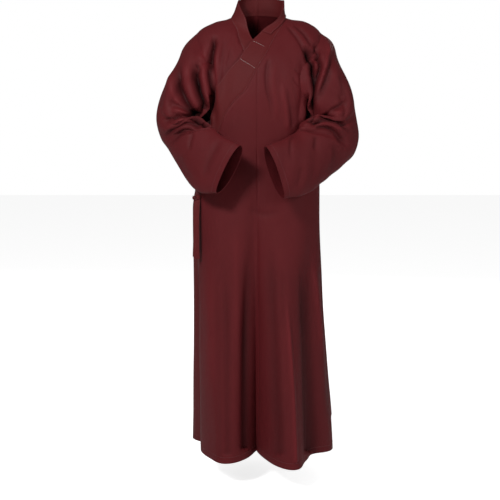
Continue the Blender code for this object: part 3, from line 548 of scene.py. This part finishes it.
def wornPoints(places, creases):
    # the panel's points, moved square to the surface by the creases, the hidden folds and a slow unevenness
    # that ends on the collar, and how far the first two moved them
    angle, up, lift = places[..., 0], places[..., 1], places[..., 2]
    points, way = bodyPoint(angle, up, lift), bodyNormal(angle, up)
    spanned = worn["bridge"] * smoothStep(*worn["bridgeAngles"], angle) * (lift > robe["overlapLift"] / 2)
    high = smoothStep(*worn["facing"], -way[..., 1]) * creaseHeight(seenFrom(points), creases)
    high = np.where(high < 0, high * (1 - spanned), high) + foldHeight(hiddenFolds, angle, up)
    rough = unevenness(points, *worn["bodyWaves"]) * smoothStep(robe["upCollar"], 1.40, up)
    return points + way * (high + rough)[..., None], high


def sleeveGrid(side, table, armhole, wornArmhole, seed):
    # rings from the armhole to the cuff, each an ellipse between its outer and inner point, with its own
    # bulges; the folds and the crook move them, then they are set clear of the body, creased and set clear
    count = len(armhole)
    turn = np.radians(np.arange(count) * 360 / count)[:, None]
    outer, inner = table[:, 0:3] * (side, 1, 1), table[:, 3:6] * (side, 1, 1)
    middle = (outer + inner) / 2
    first = armhole.mean(axis=0)
    along = np.gradient(np.vstack([first, middle]), axis=0)[1:]
    front = unit(np.cross(outer - inner, along)) * -side
    bulge = np.where(np.sin(turn) > 0, table[:, 6], table[:, 7])[..., None]
    rings = middle + (outer - inner) / 2 * np.cos(turn)[..., None] + front * bulge * np.sin(turn)[..., None]
    rings = np.concatenate([armhole[None], np.swapaxes(rings, 0, 1)])
    reach = np.linalg.norm(np.diff(np.vstack([first, middle]), axis=0), axis=1)
    knots = np.concatenate([[0], np.cumsum(reach)]) / reach.sum()
    share = np.linspace(0, 1, mesh["sleeveRings"]) ** worn["ringPower"]
    grid = throughPoints(knots, rings, share)
    outward = gridNormals(grid, around=True) * side
    roundIt, alongIt = np.degrees(turn[:, 0])[None, :], share[:, None]
    high = foldHeight(sleeveFolds, roundIt, alongIt) + foldHeight(elbowFolds, 360 * alongIt, roundIt)
    grid = grid + outward * (high * smoothStep(0, worn["foldsFrom"], alongIt))[..., None]
    off = (seenFrom(grid) - crook["middle"] * (side, 1)) / crook["reach"]
    inFront = smoothStep(*crook["front"], np.sin(turn[:, 0]))[None, :]
    inward = smoothStep(*crook["inner"], np.cos(turn[:, 0]))[None, :] * inFront
    inward = inward * smoothStep(*crook["along"], alongIt)
    drawn = np.exp(-(off**2).sum(axis=-1)) * inward
    grid = grid + drawn[..., None] * crook["shift"] * (side, 1, 1)
    growing = smoothStep(0, worn["clearFrom"], alongIt[1:])
    grid[1:] = clearOfBody(grid[1:], side, robe["clear"] * growing)

    outward = gridNormals(grid, around=True) * side
    facing = smoothStep(*worn["facing"], -outward[..., 1])
    high = facing * creaseHeight(seenFrom(grid), sleeveCreases + chestCreases)
    high = high + (1 - facing) * foldHeight(hiddenElbow, 360 * alongIt, roundIt)
    rough = unevenness(grid, *worn["sleeveWaves"], seed)
    grid = grid + outward * ((high + rough) * smoothStep(0, worn["creasesFrom"], alongIt))[..., None]
    grid[1:] = clearOfBody(grid[1:], side, worn["clear"] * growing)
    fade = 1 - smoothStep(0, worn["seamShare"], alongIt)[..., None]
    return grid + (wornArmhole - armhole)[None] * fade, high


outerSeam, outerEdge = bandLines(outerBand, 1)
underSeam, underEdge = bandLines(underBand, -1)
allCreases = chestCreases + sleeveCreases + skirtCreases

places = {}
places["back_left"] = backPlaces(1, mesh["backColumns"])
places["back_right"] = backPlaces(-1, mesh["backColumns"])
places["front_left"] = frontPlaces(
    1, mesh["columns"], lambda up: throughPoints(centreSeam[:, 0], centreSeam[:, 1], up), outerSeam, over
)
places["front_right"] = frontPlaces(
    -1, mesh["columns"], lambda up: robe["underEdge"] + 0 * up, underSeam, under
)
places["overlap"] = overlapPlaces(mesh["columns"], places["front_left"][:, 0, 1], outerSeam)
tops = {name: place[-1, :, 0] for name, place in places.items()}
outerAngles = np.concatenate([tops["overlap"], tops["front_left"][1:], tops["back_left"][-2::-1]])
underAngles = np.concatenate([tops["front_right"], tops["back_right"][-2::-1]])
outerStations = bandStations(1, outerSeam, outerEdge, outerAngles)
underStations = bandStations(-1, underSeam, underEdge, underAngles)
places["collar_left"] = bandPlaces(outerStations, 0, 1, over)
places["collar_right"] = bandPlaces(underStations, 0, 1, under)

grids, creaseOf = {}, {}
for name, place in places.items():
    grids[name], creaseOf[name] = wornPoints(place, allCreases)
plain = {name: bodyPoint(*np.moveaxis(place, -1, 0)) for name, place in places.items()}
print("panels worked out")


def turnedTo(grid, edge):
    # the grid with its first row along one of its edges: low, top, or the first or last column
    grid = grid.swapaxes(0, 1) if edge in ("first", "last") else grid
    return grid[::-1] if edge in ("last", "top") else grid


def reachAlong(points):
    # how far each point lies from the first row, measured along the cloth
    steps = np.linalg.norm(np.diff(points, axis=0), axis=-1)
    return np.concatenate([np.zeros((1, steps.shape[1])), np.cumsum(steps, axis=0)])


def awayFrom(points, edge):
    off = reachAlong(turnedTo(points, edge))
    off = off[::-1] if edge in ("last", "top") else off
    return off.T if edge in ("first", "last") else off


def dipped(points, edges):
    # the cloth turns in a little beside its seams, over a few millimetres
    off = np.min([awayFrom(points, edge) for edge in edges], axis=0)
    way = gridNormals(points)
    way = way * np.sign((way * (points * (1, 1, 0))).sum(axis=-1).mean())
    return points - way * (worn["seamDip"] * np.exp(-((off / worn["seamWide"]) ** 2)))[..., None]


seamEdges = {
    "front_left": ("first", "top"), "overlap": ("last", "top"), "front_right": ("top",),
    "back_left": ("first", "top"), "back_right": ("first", "top"),
    "collar_left": ("first", "top"), "collar_right": ("first", "top"),
}
for name, edges in seamEdges.items():
    grids[name] = dipped(grids[name], edges)
lowRows = mesh["skirtRows"] + mesh["chestRows"]
beside = slice(lowRows, lowRows + mesh["armholeRows"])
columns, backColumns = mesh["columns"], mesh["backColumns"]
for side, name, table, seed in ((1, "left", sleeveLeft, 21), (-1, "right", sleeveRight, 34)):
    front, back = "front_" + name, "back_" + name
    armhole, wornArmhole = (
        np.concatenate([made[front][beside, -1][::-1], made[back][beside, -1][1:-1]])
        for made in (plain, grids)
    )
    sleeve = "sleeve_" + name
    grids[sleeve], creaseOf[sleeve] = sleeveGrid(side, table, armhole, wornArmhole, seed)
print("sleeves and collar worked out")


# finishes

finish = {
    "maroon": (0.104, 0.0100, 0.0125), "collarMaroon": (0.102, 0.0110, 0.0122),
    "thread": (0.135, 0.022, 0.027), "tackThread": (0.60, 0.52, 0.50),
    "vary": 0.10, "creaseShade": 38.0,  # how far the tone wanders, and how far painted shade darkens the troughs and painted highlight pales the ridges, per metre of crease height
    "patchShare": 0.6, "swing": 4.0,  # the patches' share beside the threads' streaks, and how far both swing
    "roughness": 0.55, "roughnessVary": 0.10, "gloss": 0.14,
    "sheen": 0.020, "sheenRoughness": 0.45, "sheenTint": (0.85, 0.35, 0.35),
    "yarn": 0.0006, "yarnHigh": 0.00025, "yarnStrength": 0.35,  # from one yarn to the next, and its bump
    "slubs": (900.0, 40.0, 1.0),  # uneven stretches of yarn to a metre, across and along it
    "patches": 6.0,  # slow changes of tone to a metre
    "puckers": 34.0, "puckerStretch": (1.0, 1.0, 0.45), "puckerHigh": 0.004,  # longer down than across
    "twist": 900.0, "twistHigh": 0.0002, "twistStrength": 0.4,  # the sewing thread
    "threadRoughness": 0.55, "threadSheen": 0.2,
}


def newGroup(name, inputs, outputs):
    group = bpy.data.node_groups.new(name, "ShaderNodeTree")
    for label, kind, value in inputs:
        socket = group.interface.new_socket(name=label, in_out="INPUT", socket_type=kind)
        socket.default_value = value
    for label, kind in outputs:
        group.interface.new_socket(name=label, in_out="OUTPUT", socket_type=kind)
    return group, group.nodes.new("NodeGroupInput"), group.nodes.new("NodeGroupOutput")


def feed(tree, node, links):
    # each input is linked to a socket or given a value
    for socket, source in links:
        if isinstance(source, (int, float, tuple)):
            node.inputs[socket].default_value = source
        else:
            tree.links.new(source, node.inputs[socket])
    return node


def addNode(tree, kind, links=(), **values):
    node = tree.nodes.new(kind)
    for key, value in values.items():
        setattr(node, key, value)
    return feed(tree, node, links)


def newMaterial(name):
    made = bpy.data.materials.new(name)
    made.use_nodes = True
    return made, made.node_tree, made.node_tree.nodes["Principled BSDF"]


def newObject(name, data):
    made = bpy.data.objects.new(name, data)
    bpy.context.scene.collection.objects.link(made)
    return made


def mathNode(tree, operation, *sources):
    return addNode(tree, "ShaderNodeMath", list(enumerate(sources)), operation=operation).outputs[0]


def stretched(tree, place, by):
    return addNode(tree, "ShaderNodeVectorMath", [(0, place), (1, by)], operation="MULTIPLY").outputs[0]


def noise(tree, place, scale, **settings):
    links = [("Vector", place), ("Scale", scale), *settings.items()]
    return addNode(tree, "ShaderNodeTexNoise", links).outputs["Fac"]


def bump(tree, high, strength, distance, *under):
    links = [("Height", high), ("Strength", strength), ("Distance", distance)]
    return addNode(tree, "ShaderNodeBump", links + [("Normal", way) for way in under]).outputs[0]


def weaveGroup():
    # plain weave on the cloth's own UV, in metres: each yarn is the rounded |sin| of its cell, warp over weft
    # in one cell and weft over warp in the next, with slubs added
    group, given, put = newGroup(
        "plainWeave", [("Yarn", "NodeSocketFloat", 0.0006), ("Slub", "NodeSocketFloat", 0.25)],
        [("Height", "NodeSocketFloat"), ("Thread", "NodeSocketFloat")],
    )
    uv = addNode(group, "ShaderNodeUVMap", uv_map="cloth").outputs[0]
    cells = addNode(group, "ShaderNodeVectorMath", [(0, uv), (3, 1.0)], operation="SCALE")
    group.links.new(mathNode(group, "DIVIDE", 1.0, given.outputs["Yarn"]), cells.inputs["Scale"])
    split = addNode(group, "ShaderNodeSeparateXYZ", [(0, cells.outputs[0])])
    warp, weft = (
        mathNode(group, "ABSOLUTE", mathNode(group, "SINE", mathNode(group, "MULTIPLY", part, np.pi)))
        for part in split.outputs[:2]
    )
    checker = addNode(group, "ShaderNodeTexChecker", [("Vector", cells.outputs[0]), ("Scale", 1.0)])
    both = [(0, checker.outputs["Fac"]), (2, warp), (3, weft)]
    mixed = addNode(group, "ShaderNodeMix", both, data_type="FLOAT").outputs[0]
    slub = noise(group, stretched(group, uv, finish["slubs"]), 1.0, Detail=2.0)
    high = mathNode(group, "ADD", mixed, mathNode(group, "MULTIPLY", slub, given.outputs["Slub"]))
    group.links.new(high, put.inputs["Height"])
    group.links.new(slub, put.inputs["Thread"])
    return group


def toneGroup():
    # the colour times 1 + slow patches + faint streaks along the threads + painted shade and highlight: paler
    # ridges, darker troughs, following the crease height
    group, given, put = newGroup(
        "clothTone",
        [("Colour", "NodeSocketColor", (0.1, 0.02, 0.02, 1)), ("Vary", "NodeSocketFloat", 0.12),
         ("Thread", "NodeSocketFloat", 0.5), ("Crease", "NodeSocketFloat", 0.0),
         ("CreaseShade", "NodeSocketFloat", 0.0)],
        [("Colour", "NodeSocketColor"), ("Patch", "NodeSocketFloat")],
    )
    place = addNode(group, "ShaderNodeTexCoord").outputs["Object"]
    patch = noise(group, place, finish["patches"], Detail=3.0, Roughness=0.55)
    streaks = mathNode(group, "MULTIPLY", given.outputs["Thread"], 1 - finish["patchShare"])
    both = mathNode(group, "ADD", mathNode(group, "MULTIPLY", patch, finish["patchShare"]), streaks)
    swing = mathNode(group, "MULTIPLY", mathNode(group, "SUBTRACT", both, 0.5), given.outputs["Vary"])
    # painted shade and highlight: the crease height darkens the colour in troughs and pales it on ridges
    creaseShade = mathNode(group, "MULTIPLY_ADD", given.outputs["Crease"], given.outputs["CreaseShade"], 1.0)
    value = mathNode(group, "MULTIPLY_ADD", swing, finish["swing"], creaseShade)
    toned = addNode(group, "ShaderNodeHueSaturation", [("Color", given.outputs["Colour"]), ("Value", value)])
    group.links.new(toned.outputs[0], put.inputs["Colour"])
    group.links.new(patch, put.inputs["Patch"])
    return group


weave, tone = weaveGroup(), toneGroup()


def clothMaterial(name, colour, puckerStrength=0.30):
    made, tree, shader = newMaterial(name)
    weaving = addNode(tree, "ShaderNodeGroup", [("Yarn", finish["yarn"])], node_tree=weave)
    # the crease height, which the tone group turns into painted shade in troughs and painted highlight on
    # ridges
    crease = addNode(tree, "ShaderNodeAttribute", attribute_name="crease").outputs["Fac"]
    toning = addNode(tree, "ShaderNodeGroup", [
        ("Colour", (*colour, 1)), ("Vary", finish["vary"]), ("CreaseShade", finish["creaseShade"]),
        ("Thread", weaving.outputs["Thread"]), ("Crease", crease),
    ], node_tree=tone)
    rough = (toning.outputs["Patch"], finish["roughnessVary"], finish["roughness"])
    place = addNode(tree, "ShaderNodeTexCoord").outputs["Object"]
    pucker = noise(tree, stretched(tree, place, finish["puckerStretch"]), finish["puckers"], Detail=3.0)
    soft = bump(tree, pucker, puckerStrength, finish["puckerHigh"])
    fine = bump(tree, weaving.outputs["Height"], finish["yarnStrength"], finish["yarnHigh"], soft)
    feed(tree, shader, [
        ("Base Color", toning.outputs["Colour"]), ("Normal", fine),
        ("Roughness", mathNode(tree, "MULTIPLY_ADD", *rough)), ("Specular IOR Level", finish["gloss"]),
        ("Sheen Weight", finish["sheen"]), ("Sheen Roughness", finish["sheenRoughness"]),
        ("Sheen Tint", (*finish["sheenTint"], 1)),
    ])
    return made


def threadMaterial(name, colour):
    made, tree, shader = newMaterial(name)
    place = addNode(tree, "ShaderNodeTexCoord").outputs["Object"]
    twist = noise(tree, place, finish["twist"], Detail=1.0)
    toning = addNode(tree, "ShaderNodeGroup", [("Thread", twist), ("Colour", (*colour, 1))], node_tree=tone)
    feed(tree, shader, [
        ("Base Color", toning.outputs["Colour"]),
        ("Normal", bump(tree, twist, finish["twistStrength"], finish["twistHigh"])),
        ("Roughness", finish["threadRoughness"]), ("Sheen Weight", finish["threadSheen"]),
    ])
    return made


maroonCloth = clothMaterial("maroonCloth", finish["maroon"])
collarCloth = clothMaterial("collarCloth", finish["collarMaroon"], puckerStrength=0.16)
tieCloth = clothMaterial("tieCloth", finish["collarMaroon"], puckerStrength=0.20)
maroonThread = threadMaterial("maroonThread", finish["thread"])
tackThread = threadMaterial("tackThread", finish["tackThread"])
print("finishes made")

# pieces


def wallOf(name):
    return robe["band"] if name in ("collar_left", "collar_right") else robe["cloth"]


def gridMesh(name, points, uv, around=False, flip=False):
    # quads between neighbouring grid points, closed round if it is a tube; uv places each column and each row
    rows, columns = points.shape[:2]
    index = np.arange(rows * columns).reshape(rows, columns)
    left = index if around else index[:, :-1]
    right = np.roll(index, -1, axis=1) if around else index[:, 1:]
    corners = np.stack([left[:-1], right[:-1], right[1:], left[1:]], axis=-1).reshape(-1, 4)
    flat = np.stack(np.meshgrid(*uv), axis=-1)
    flat = np.stack([flat[:-1, :-1], flat[:-1, 1:], flat[1:, 1:], flat[1:, :-1]], axis=2).reshape(-1, 4, 2)
    if flip:
        corners, flat = corners[:, ::-1], flat[:, ::-1]
    made = bpy.data.meshes.new(name)
    made.vertices.add(rows * columns)
    made.vertices.foreach_set("co", points.reshape(-1))
    made.loops.add(corners.size)
    made.loops.foreach_set("vertex_index", corners.reshape(-1))
    made.polygons.add(len(corners))
    made.polygons.foreach_set("loop_start", np.arange(len(corners)) * 4)
    layer = made.uv_layers.new(name="cloth")
    layer.data.foreach_set("uv", np.ascontiguousarray(flat).reshape(-1))
    made.update(calc_edges=True)
    made.validate()
    return made


def clothPiece(name, points, wall, material, around=False, flip=False):
    # the grid as a shell with its wall, its rims sharp and the rest smooth
    sizes = np.linalg.norm(np.diff(points, axis=1), axis=-1).mean(axis=0)
    lengths = np.linalg.norm(np.diff(points, axis=0), axis=-1).mean(axis=1)
    if around:
        sizes = np.append(sizes, sizes[-1])
    uv = (np.concatenate([[0], np.cumsum(sizes)]), np.concatenate([[0], np.cumsum(lengths)]))
    flatMesh = gridMesh(name, points, uv, around, flip)
    # the crease heights go on the mesh, for the painted shade in the troughs and painted highlight on the
    # ridges
    if name in creaseOf:
        crease = flatMesh.attributes.new("crease", "FLOAT", "POINT")
        crease.data.foreach_set("value", creaseOf[name].astype(np.float32).reshape(-1))
    sheet = newObject("new_" + name, flatMesh)
    solid = sheet.modifiers.new("Wall", "SOLIDIFY")
    solid.thickness, solid.offset = wall, 0.0
    shell = bpy.data.meshes.new_from_object(sheet.evaluated_get(bpy.context.evaluated_depsgraph_get()))
    bpy.data.objects.remove(sheet)
    shell.shade_smooth()
    shell.set_sharp_from_angle(angle=np.radians(60))
    shell.materials.clear()
    shell.materials.append(material)
    piece = newObject("cloth_" + name, shell)
    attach(piece, "root")
    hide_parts(name)


# the guard lies on the neck's part of the bands, from the left of the chest to past the centre of the back
guard = {
    "lift": robe["band"] / 2 + robe["cloth"] / 2 + 0.0009, "start": columns + 5 * columns // 12,
    "pastBack": backColumns * 3 // 4, "low": 0.08, "lowAtEnd": 0.28, "high": 0.985,
}
roundRight = underStations[:, -2 : -2 - guard["pastBack"] : -1] + (360, 0)
guardStations = np.concatenate([outerStations[:, guard["start"] :], roundRight], axis=1)
stretch = guardStations[0, :, 0]
low = guard["low"] + (guard["lowAtEnd"] - guard["low"]) * (1 - smoothStep(stretch[0], 75, stretch))
guardPlaces = bandPlaces(guardStations, low, guard["high"], lambda angle, up: over(angle, up) + guard["lift"])
grids["collar_guard"], creaseOf["collar_guard"] = wornPoints(guardPlaces, allCreases)

flipped = ("back_right", "front_left", "sleeve_right", "collar_right")
for name, points in grids.items():
    material, slot = (collarCloth, "collar_cloth") if "collar" in name else (maroonCloth, "cloth")
    clothPiece(name, points, wallOf(name), material, "sleeve" in name, name in flipped)
print("cloth pieces made")


# ties

tie = {
    "wide": 0.017, "wall": 0.0014, "columns": 10, "rows": 150, "loopRows": 40,
    "roll": 0.0006, "waver": 0.0005,
    "knotSize": (0.0085, 0.0070, 0.0090), "knotOff": (-0.0072, -0.0055, -0.0080),
    "knotRings": 60, "knotColumns": 96, "knotEnd": 0.06, "knotStep": 0.003,
    "wraps": 3, "groove": 0.16, "grooveWide": 0.13,
}
# each ribbon's middle line from the knot: x, y, z and the angle its width faces
tails = {
    "tie_tail_front": (
        (-0.0020, -0.0030, -0.0087, -8), (-0.0045, -0.0075, -0.0450, -8), (-0.0055, -0.0070, -0.1100, -14),
        (-0.0045, -0.0060, -0.1920, -10),
    ),
    "tie_tail_back": (
        (-0.0030, 0.0020, -0.0092, -12), (-0.0080, 0.0040, -0.0550, -30), (-0.0100, 0.0055, -0.1200, -45),
        (-0.0120, 0.0060, -0.1880, -45),
    ),
    "tie_loop": (
        (-0.0088, 0.0, 0.0040, -75), (-0.0138, 0.0, 0.0015, -75), (-0.0156, 0.0, -0.0035, -75),
        (-0.0136, 0.0, -0.0078, -75), (-0.0087, 0.0, -0.0045, -75),
    ),
}
knotPlace = plain["overlap"][-1, 0] + tie["knotOff"]


def ribbonGrid(table, rows):
    # a flat strip along its line, with a soft roll across and a slight waver on the way down
    table = np.array(table, float)
    along = np.linspace(0, 1, rows)
    line = throughPoints(np.linspace(0, 1, len(table)), table, along)
    face = np.radians(line[:, 3])
    across = np.stack([np.cos(face), np.sin(face), 0 * face], axis=-1)
    square = np.stack([np.sin(face), -np.cos(face), 0 * face], axis=-1)
    wide = np.linspace(-0.5, 0.5, tie["columns"] + 1)
    roll = tie["roll"] * (1 - 4 * wide**2) + tie["waver"] * np.sin(9 * along + 2)[:, None] * wide
    points = line[:, None, :3] + across[:, None] * (wide * tie["wide"])[:, None]
    return knotPlace + points + square[:, None] * roll[..., None]


for name, table in tails.items():
    rows = tie["loopRows"] if name == "tie_loop" else tie["rows"]
    clothPiece(name, ribbonGrid(table, rows), tie["wall"], tieCloth)
# the knot: the ribbon wound round three times, so a groove runs round between its turns
lean = np.linspace(tie["knotEnd"], np.pi - tie["knotEnd"], tie["knotRings"])
roundIt = np.arange(tie["knotColumns"]) * 2 * np.pi / tie["knotColumns"]
lean, roundIt = np.meshgrid(lean, roundIt, indexing="ij")
turns = tie["wraps"] * lean / np.pi + roundIt / (2 * np.pi)
groove = np.exp(-(((turns % 1) - 0.5) / tie["grooveWide"]) ** 2)
size = np.array(tie["knotSize"]) * (1 - tie["groove"] * groove)[..., None]
knot = np.stack([np.sin(lean) * np.cos(roundIt), np.sin(lean) * np.sin(roundIt), np.cos(lean)], axis=-1)
knotUv = [np.arange(count) * tie["knotStep"] for count in (tie["knotColumns"] + 1, tie["knotRings"])]
knotMesh = gridMesh("cloth_tie_knot", knotPlace + knot * size, knotUv, around=True, flip=True)
ends = bmesh.new()
ends.from_mesh(knotMesh)
bmesh.ops.holes_fill(ends, edges=[edge for edge in ends.edges if edge.is_boundary])
ends.to_mesh(knotMesh)
ends.free()
knotMesh.shade_smooth()
knotMesh.materials.append(tieCloth)
knotPiece = newObject("cloth_tie_knot", knotMesh)
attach(knotPiece, "root")
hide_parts("tie_knot")
print("ties made")

# sewing

sewing = {
    "pitch": 0.0046, "long": 0.0036, "thick": 0.00034,  # one machine stitch
    "hemUp": 0.020, "cuffIn": 0.018, "edgeIn": 0.0030, "freeEdgeIn": 0.012,
    "tackPitch": 0.0078, "tackLong": 0.0064, "tackThick": 0.00042,
}
# two rows of tacking thread across the outer band, from where to where they show in the view, in centimetres
tackRows = (((-1.38, -7.47), (2.64, -9.40)), ((-5.40, -12.92), (-0.03, -16.19)))


def outwardOf(points, around=False):
    way = gridNormals(points, around)
    middle = points.mean(axis=1, keepdims=True) if around else points * (0, 0, 1)
    return way * np.sign((way * (points - middle)).sum(axis=-1).mean())


def lineIn(points, way, edge, off):
    # the line on a grid at one distance in from one of its edges, and the outward way along it
    turned = [turnedTo(part, edge) for part in (points, way)]
    reach = reachAlong(turned[0])
    i = np.clip((reach < off).sum(axis=0) - 1, 0, len(reach) - 2)
    column = np.arange(reach.shape[1])
    steps = np.linalg.norm(turned[0][i + 1, column] - turned[0][i, column], axis=-1)
    t = ((off - reach[i, column]) / np.maximum(steps, 1e-6))[:, None]
    return [part[i, column] * (1 - t) + part[i + 1, column] * t for part in turned]


def stitchesAlong(line, way, lift, pitch, long, thick):
    # each stitch is a four-sided bar along the line, thin and sunk at both ends
    reach = np.concatenate([[0], np.cumsum(np.linalg.norm(np.diff(line, axis=0), axis=-1))])
    starts = np.arange(0.3 * pitch, reach[-1] - long, pitch)
    at = starts[:, None] + np.array((0, 0.25, 0.75, 1)) * long
    place = np.stack([np.interp(at, reach, part) for part in line.T], axis=-1)
    up = unit(np.stack([np.interp(at, reach, part) for part in way.T], axis=-1))
    side = unit(np.cross(up, place[:, -1:] - place[:, :1]))
    size = thick * np.array((0.5, 1, 1, 0.5))[None, :, None]
    place = place + up * (lift + thick * np.array((-0.6, 0.5, 0.5, -0.6)))[None, :, None]
    side, up = side * size, up * size
    corners = np.stack([place + side, place + up, place - side, place - up], axis=2)
    ring, corner = np.arange(3)[:, None], np.arange(4)[None, :]
    bars = np.stack([ring * 4 + corner, ring * 4 + (corner + 1) % 4,
                     ring * 4 + 4 + (corner + 1) % 4, ring * 4 + 4 + corner], axis=-1).reshape(-1, 4)
    bars = np.concatenate([bars, [(3, 2, 1, 0), (12, 13, 14, 15)]])
    faces = np.arange(len(starts))[:, None, None] * 16 + bars
    return corners.reshape(-1, 3), faces.reshape(-1, 4)


def stitchPiece(name, rows, material):
    points, faces, count = [], [], 0
    for made, quads in rows:
        points.append(made)
        faces.append(quads + count)
        count += len(made)
    points, faces = np.concatenate(points), np.concatenate(faces)
    thread = bpy.data.meshes.new(name)
    thread.from_pydata(points, [], faces)
    thread.shade_smooth()
    thread.materials.append(material)
    piece = newObject(name, thread)
    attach(piece, "root")


rows = []
machine = (sewing["pitch"], sewing["long"], sewing["thick"])
for name, edge, off in (
    ("back_left", "low", "hemUp"), ("back_right", "low", "hemUp"), ("front_left", "low", "hemUp"),
    ("front_right", "low", "hemUp"), ("overlap", "low", "hemUp"), ("overlap", "first", "freeEdgeIn"),
    ("front_right", "first", "freeEdgeIn"), ("collar_left", "first", "edgeIn"),
    ("collar_left", "last", "edgeIn"), ("collar_right", "first", "edgeIn"),
    ("collar_right", "last", "edgeIn"), ("collar_guard", "first", "edgeIn"),
    ("collar_guard", "last", "edgeIn"), ("collar_guard", "low", "edgeIn"), ("collar_guard", "top", "edgeIn"),
    ("sleeve_left", "top", "cuffIn"), ("sleeve_right", "top", "cuffIn"),
):
    isSleeve = "sleeve" in name
    points = grids[name]
    way = outwardOf(points, isSleeve)
    if isSleeve:
        points, way = (np.concatenate([part, part[:, :1]], axis=1) for part in (points, way))
    rows.append(stitchesAlong(*lineIn(points, way, edge, sewing[off]), wallOf(name) / 2, *machine))
stitchPiece("stitches", rows, maroonThread)

band = grids["collar_left"]
bandWay, bandSeen = outwardOf(band).reshape(-1, 3), seenFrom(band).reshape(-1, 2)
tack = (sewing["tackPitch"], sewing["tackLong"], sewing["tackThick"])
rows = []
for start, end in tackRows:
    share = np.linspace(0, 1, 30)[:, None]
    wanted = np.array(start) * (1 - share) + np.array(end) * share
    far = np.linalg.norm(wanted[:, None] - bandSeen[None], axis=-1) + 10 * (bandWay[None, :, 1] > 0)
    near = np.argsort(far, axis=1)[:, :6]
    weight = 1 / (np.take_along_axis(far, near, axis=1) + 0.02) ** 2
    weight = (weight / weight.sum(axis=1, keepdims=True))[..., None]
    line, way = (band.reshape(-1, 3)[near] * weight).sum(axis=1), (bandWay[near] * weight).sum(axis=1)
    rows.append(stitchesAlong(line, way, robe["band"] / 2, *tack))
stitchPiece("tacking", rows, tackThread)
print("sewing made")

# camera, floor and light

studio = {
    "floor": 0.85, "floorGlow": 0.80,  # the floor's own tone, and the glow that only the camera sees
    "floorRoughness": 0.9, "floorHeight": -1.470, "floorReach": 12.0,
    "seenStrength": 1.0, "worldStrength": 0.15,  # of the white world, to the camera and to everything else
    "focal": 75.0, "sensor": 36.0, "pitch": 7.38,
    "aim": (0, 0, -0.6),  # what the lights face
}
lights = {  # place, size and power
    "key": ((-1.9, -3.2, 1.9), 0.9, 124.0), "behind": ((0.6, 3.6, 0.6), 2.0, 30.0),
    "fill": ((2.6, -2.4, 0.6), 1.6, 36.0),
}
white = (1, 1, 1, 1)
camera = bpy.data.cameras.new("camera")
camera.lens, camera.sensor_width = studio["focal"], studio["sensor"]
viewer = newObject("camera", camera)
viewer.location = eye
viewer.rotation_euler = (np.radians(90 - studio["pitch"]), 0, 0)
bpy.context.scene.camera = viewer
bpy.context.scene.view_settings.view_transform = "Standard"

floorMaterial, floorTree, floorShader = newMaterial("floor")
straight = addNode(floorTree, "ShaderNodeLightPath").outputs["Is Camera Ray"]
feed(floorTree, floorShader, [
    ("Base Color", (*[studio["floor"]] * 3, 1)), ("Roughness", studio["floorRoughness"]),
    ("Emission Color", white),
    ("Emission Strength", mathNode(floorTree, "MULTIPLY", straight, studio["floorGlow"])),
])
floorMesh = bpy.data.meshes.new("floor")
far, level = studio["floorReach"], studio["floorHeight"]
corners = [(-far, -far, level), (far, -far, level), (far, far, level), (-far, far, level)]
floorMesh.from_pydata(corners, [], [(0, 1, 2, 3)])
floorMesh.materials.append(floorMaterial)
newObject("floor", floorMesh)

for name, (place, size, power) in lights.items():
    light = bpy.data.lights.new(name, "AREA")
    light.shape, light.size, light.energy = "DISK", size, power
    lamp = newObject(name, light)
    lamp.location = place
    lamp.rotation_euler = (Vector(studio["aim"]) - Vector(place)).to_track_quat("-Z", "Y").to_euler()

world = bpy.data.worlds.new("studio")
world.use_nodes = True
sky = world.node_tree
seen = feed(sky, sky.nodes["Background"], [("Color", white), ("Strength", studio["seenStrength"])])
lit = addNode(sky, "ShaderNodeBackground", [("Color", white), ("Strength", studio["worldStrength"])])
straight = addNode(sky, "ShaderNodeLightPath").outputs["Is Camera Ray"]
both = addNode(sky, "ShaderNodeMixShader", [(0, straight), (1, lit.outputs[0]), (2, seen.outputs[0])])
sky.links.new(both.outputs[0], sky.nodes["World Output"].inputs["Surface"])
bpy.context.scene.world = world
print("camera, floor and light made")
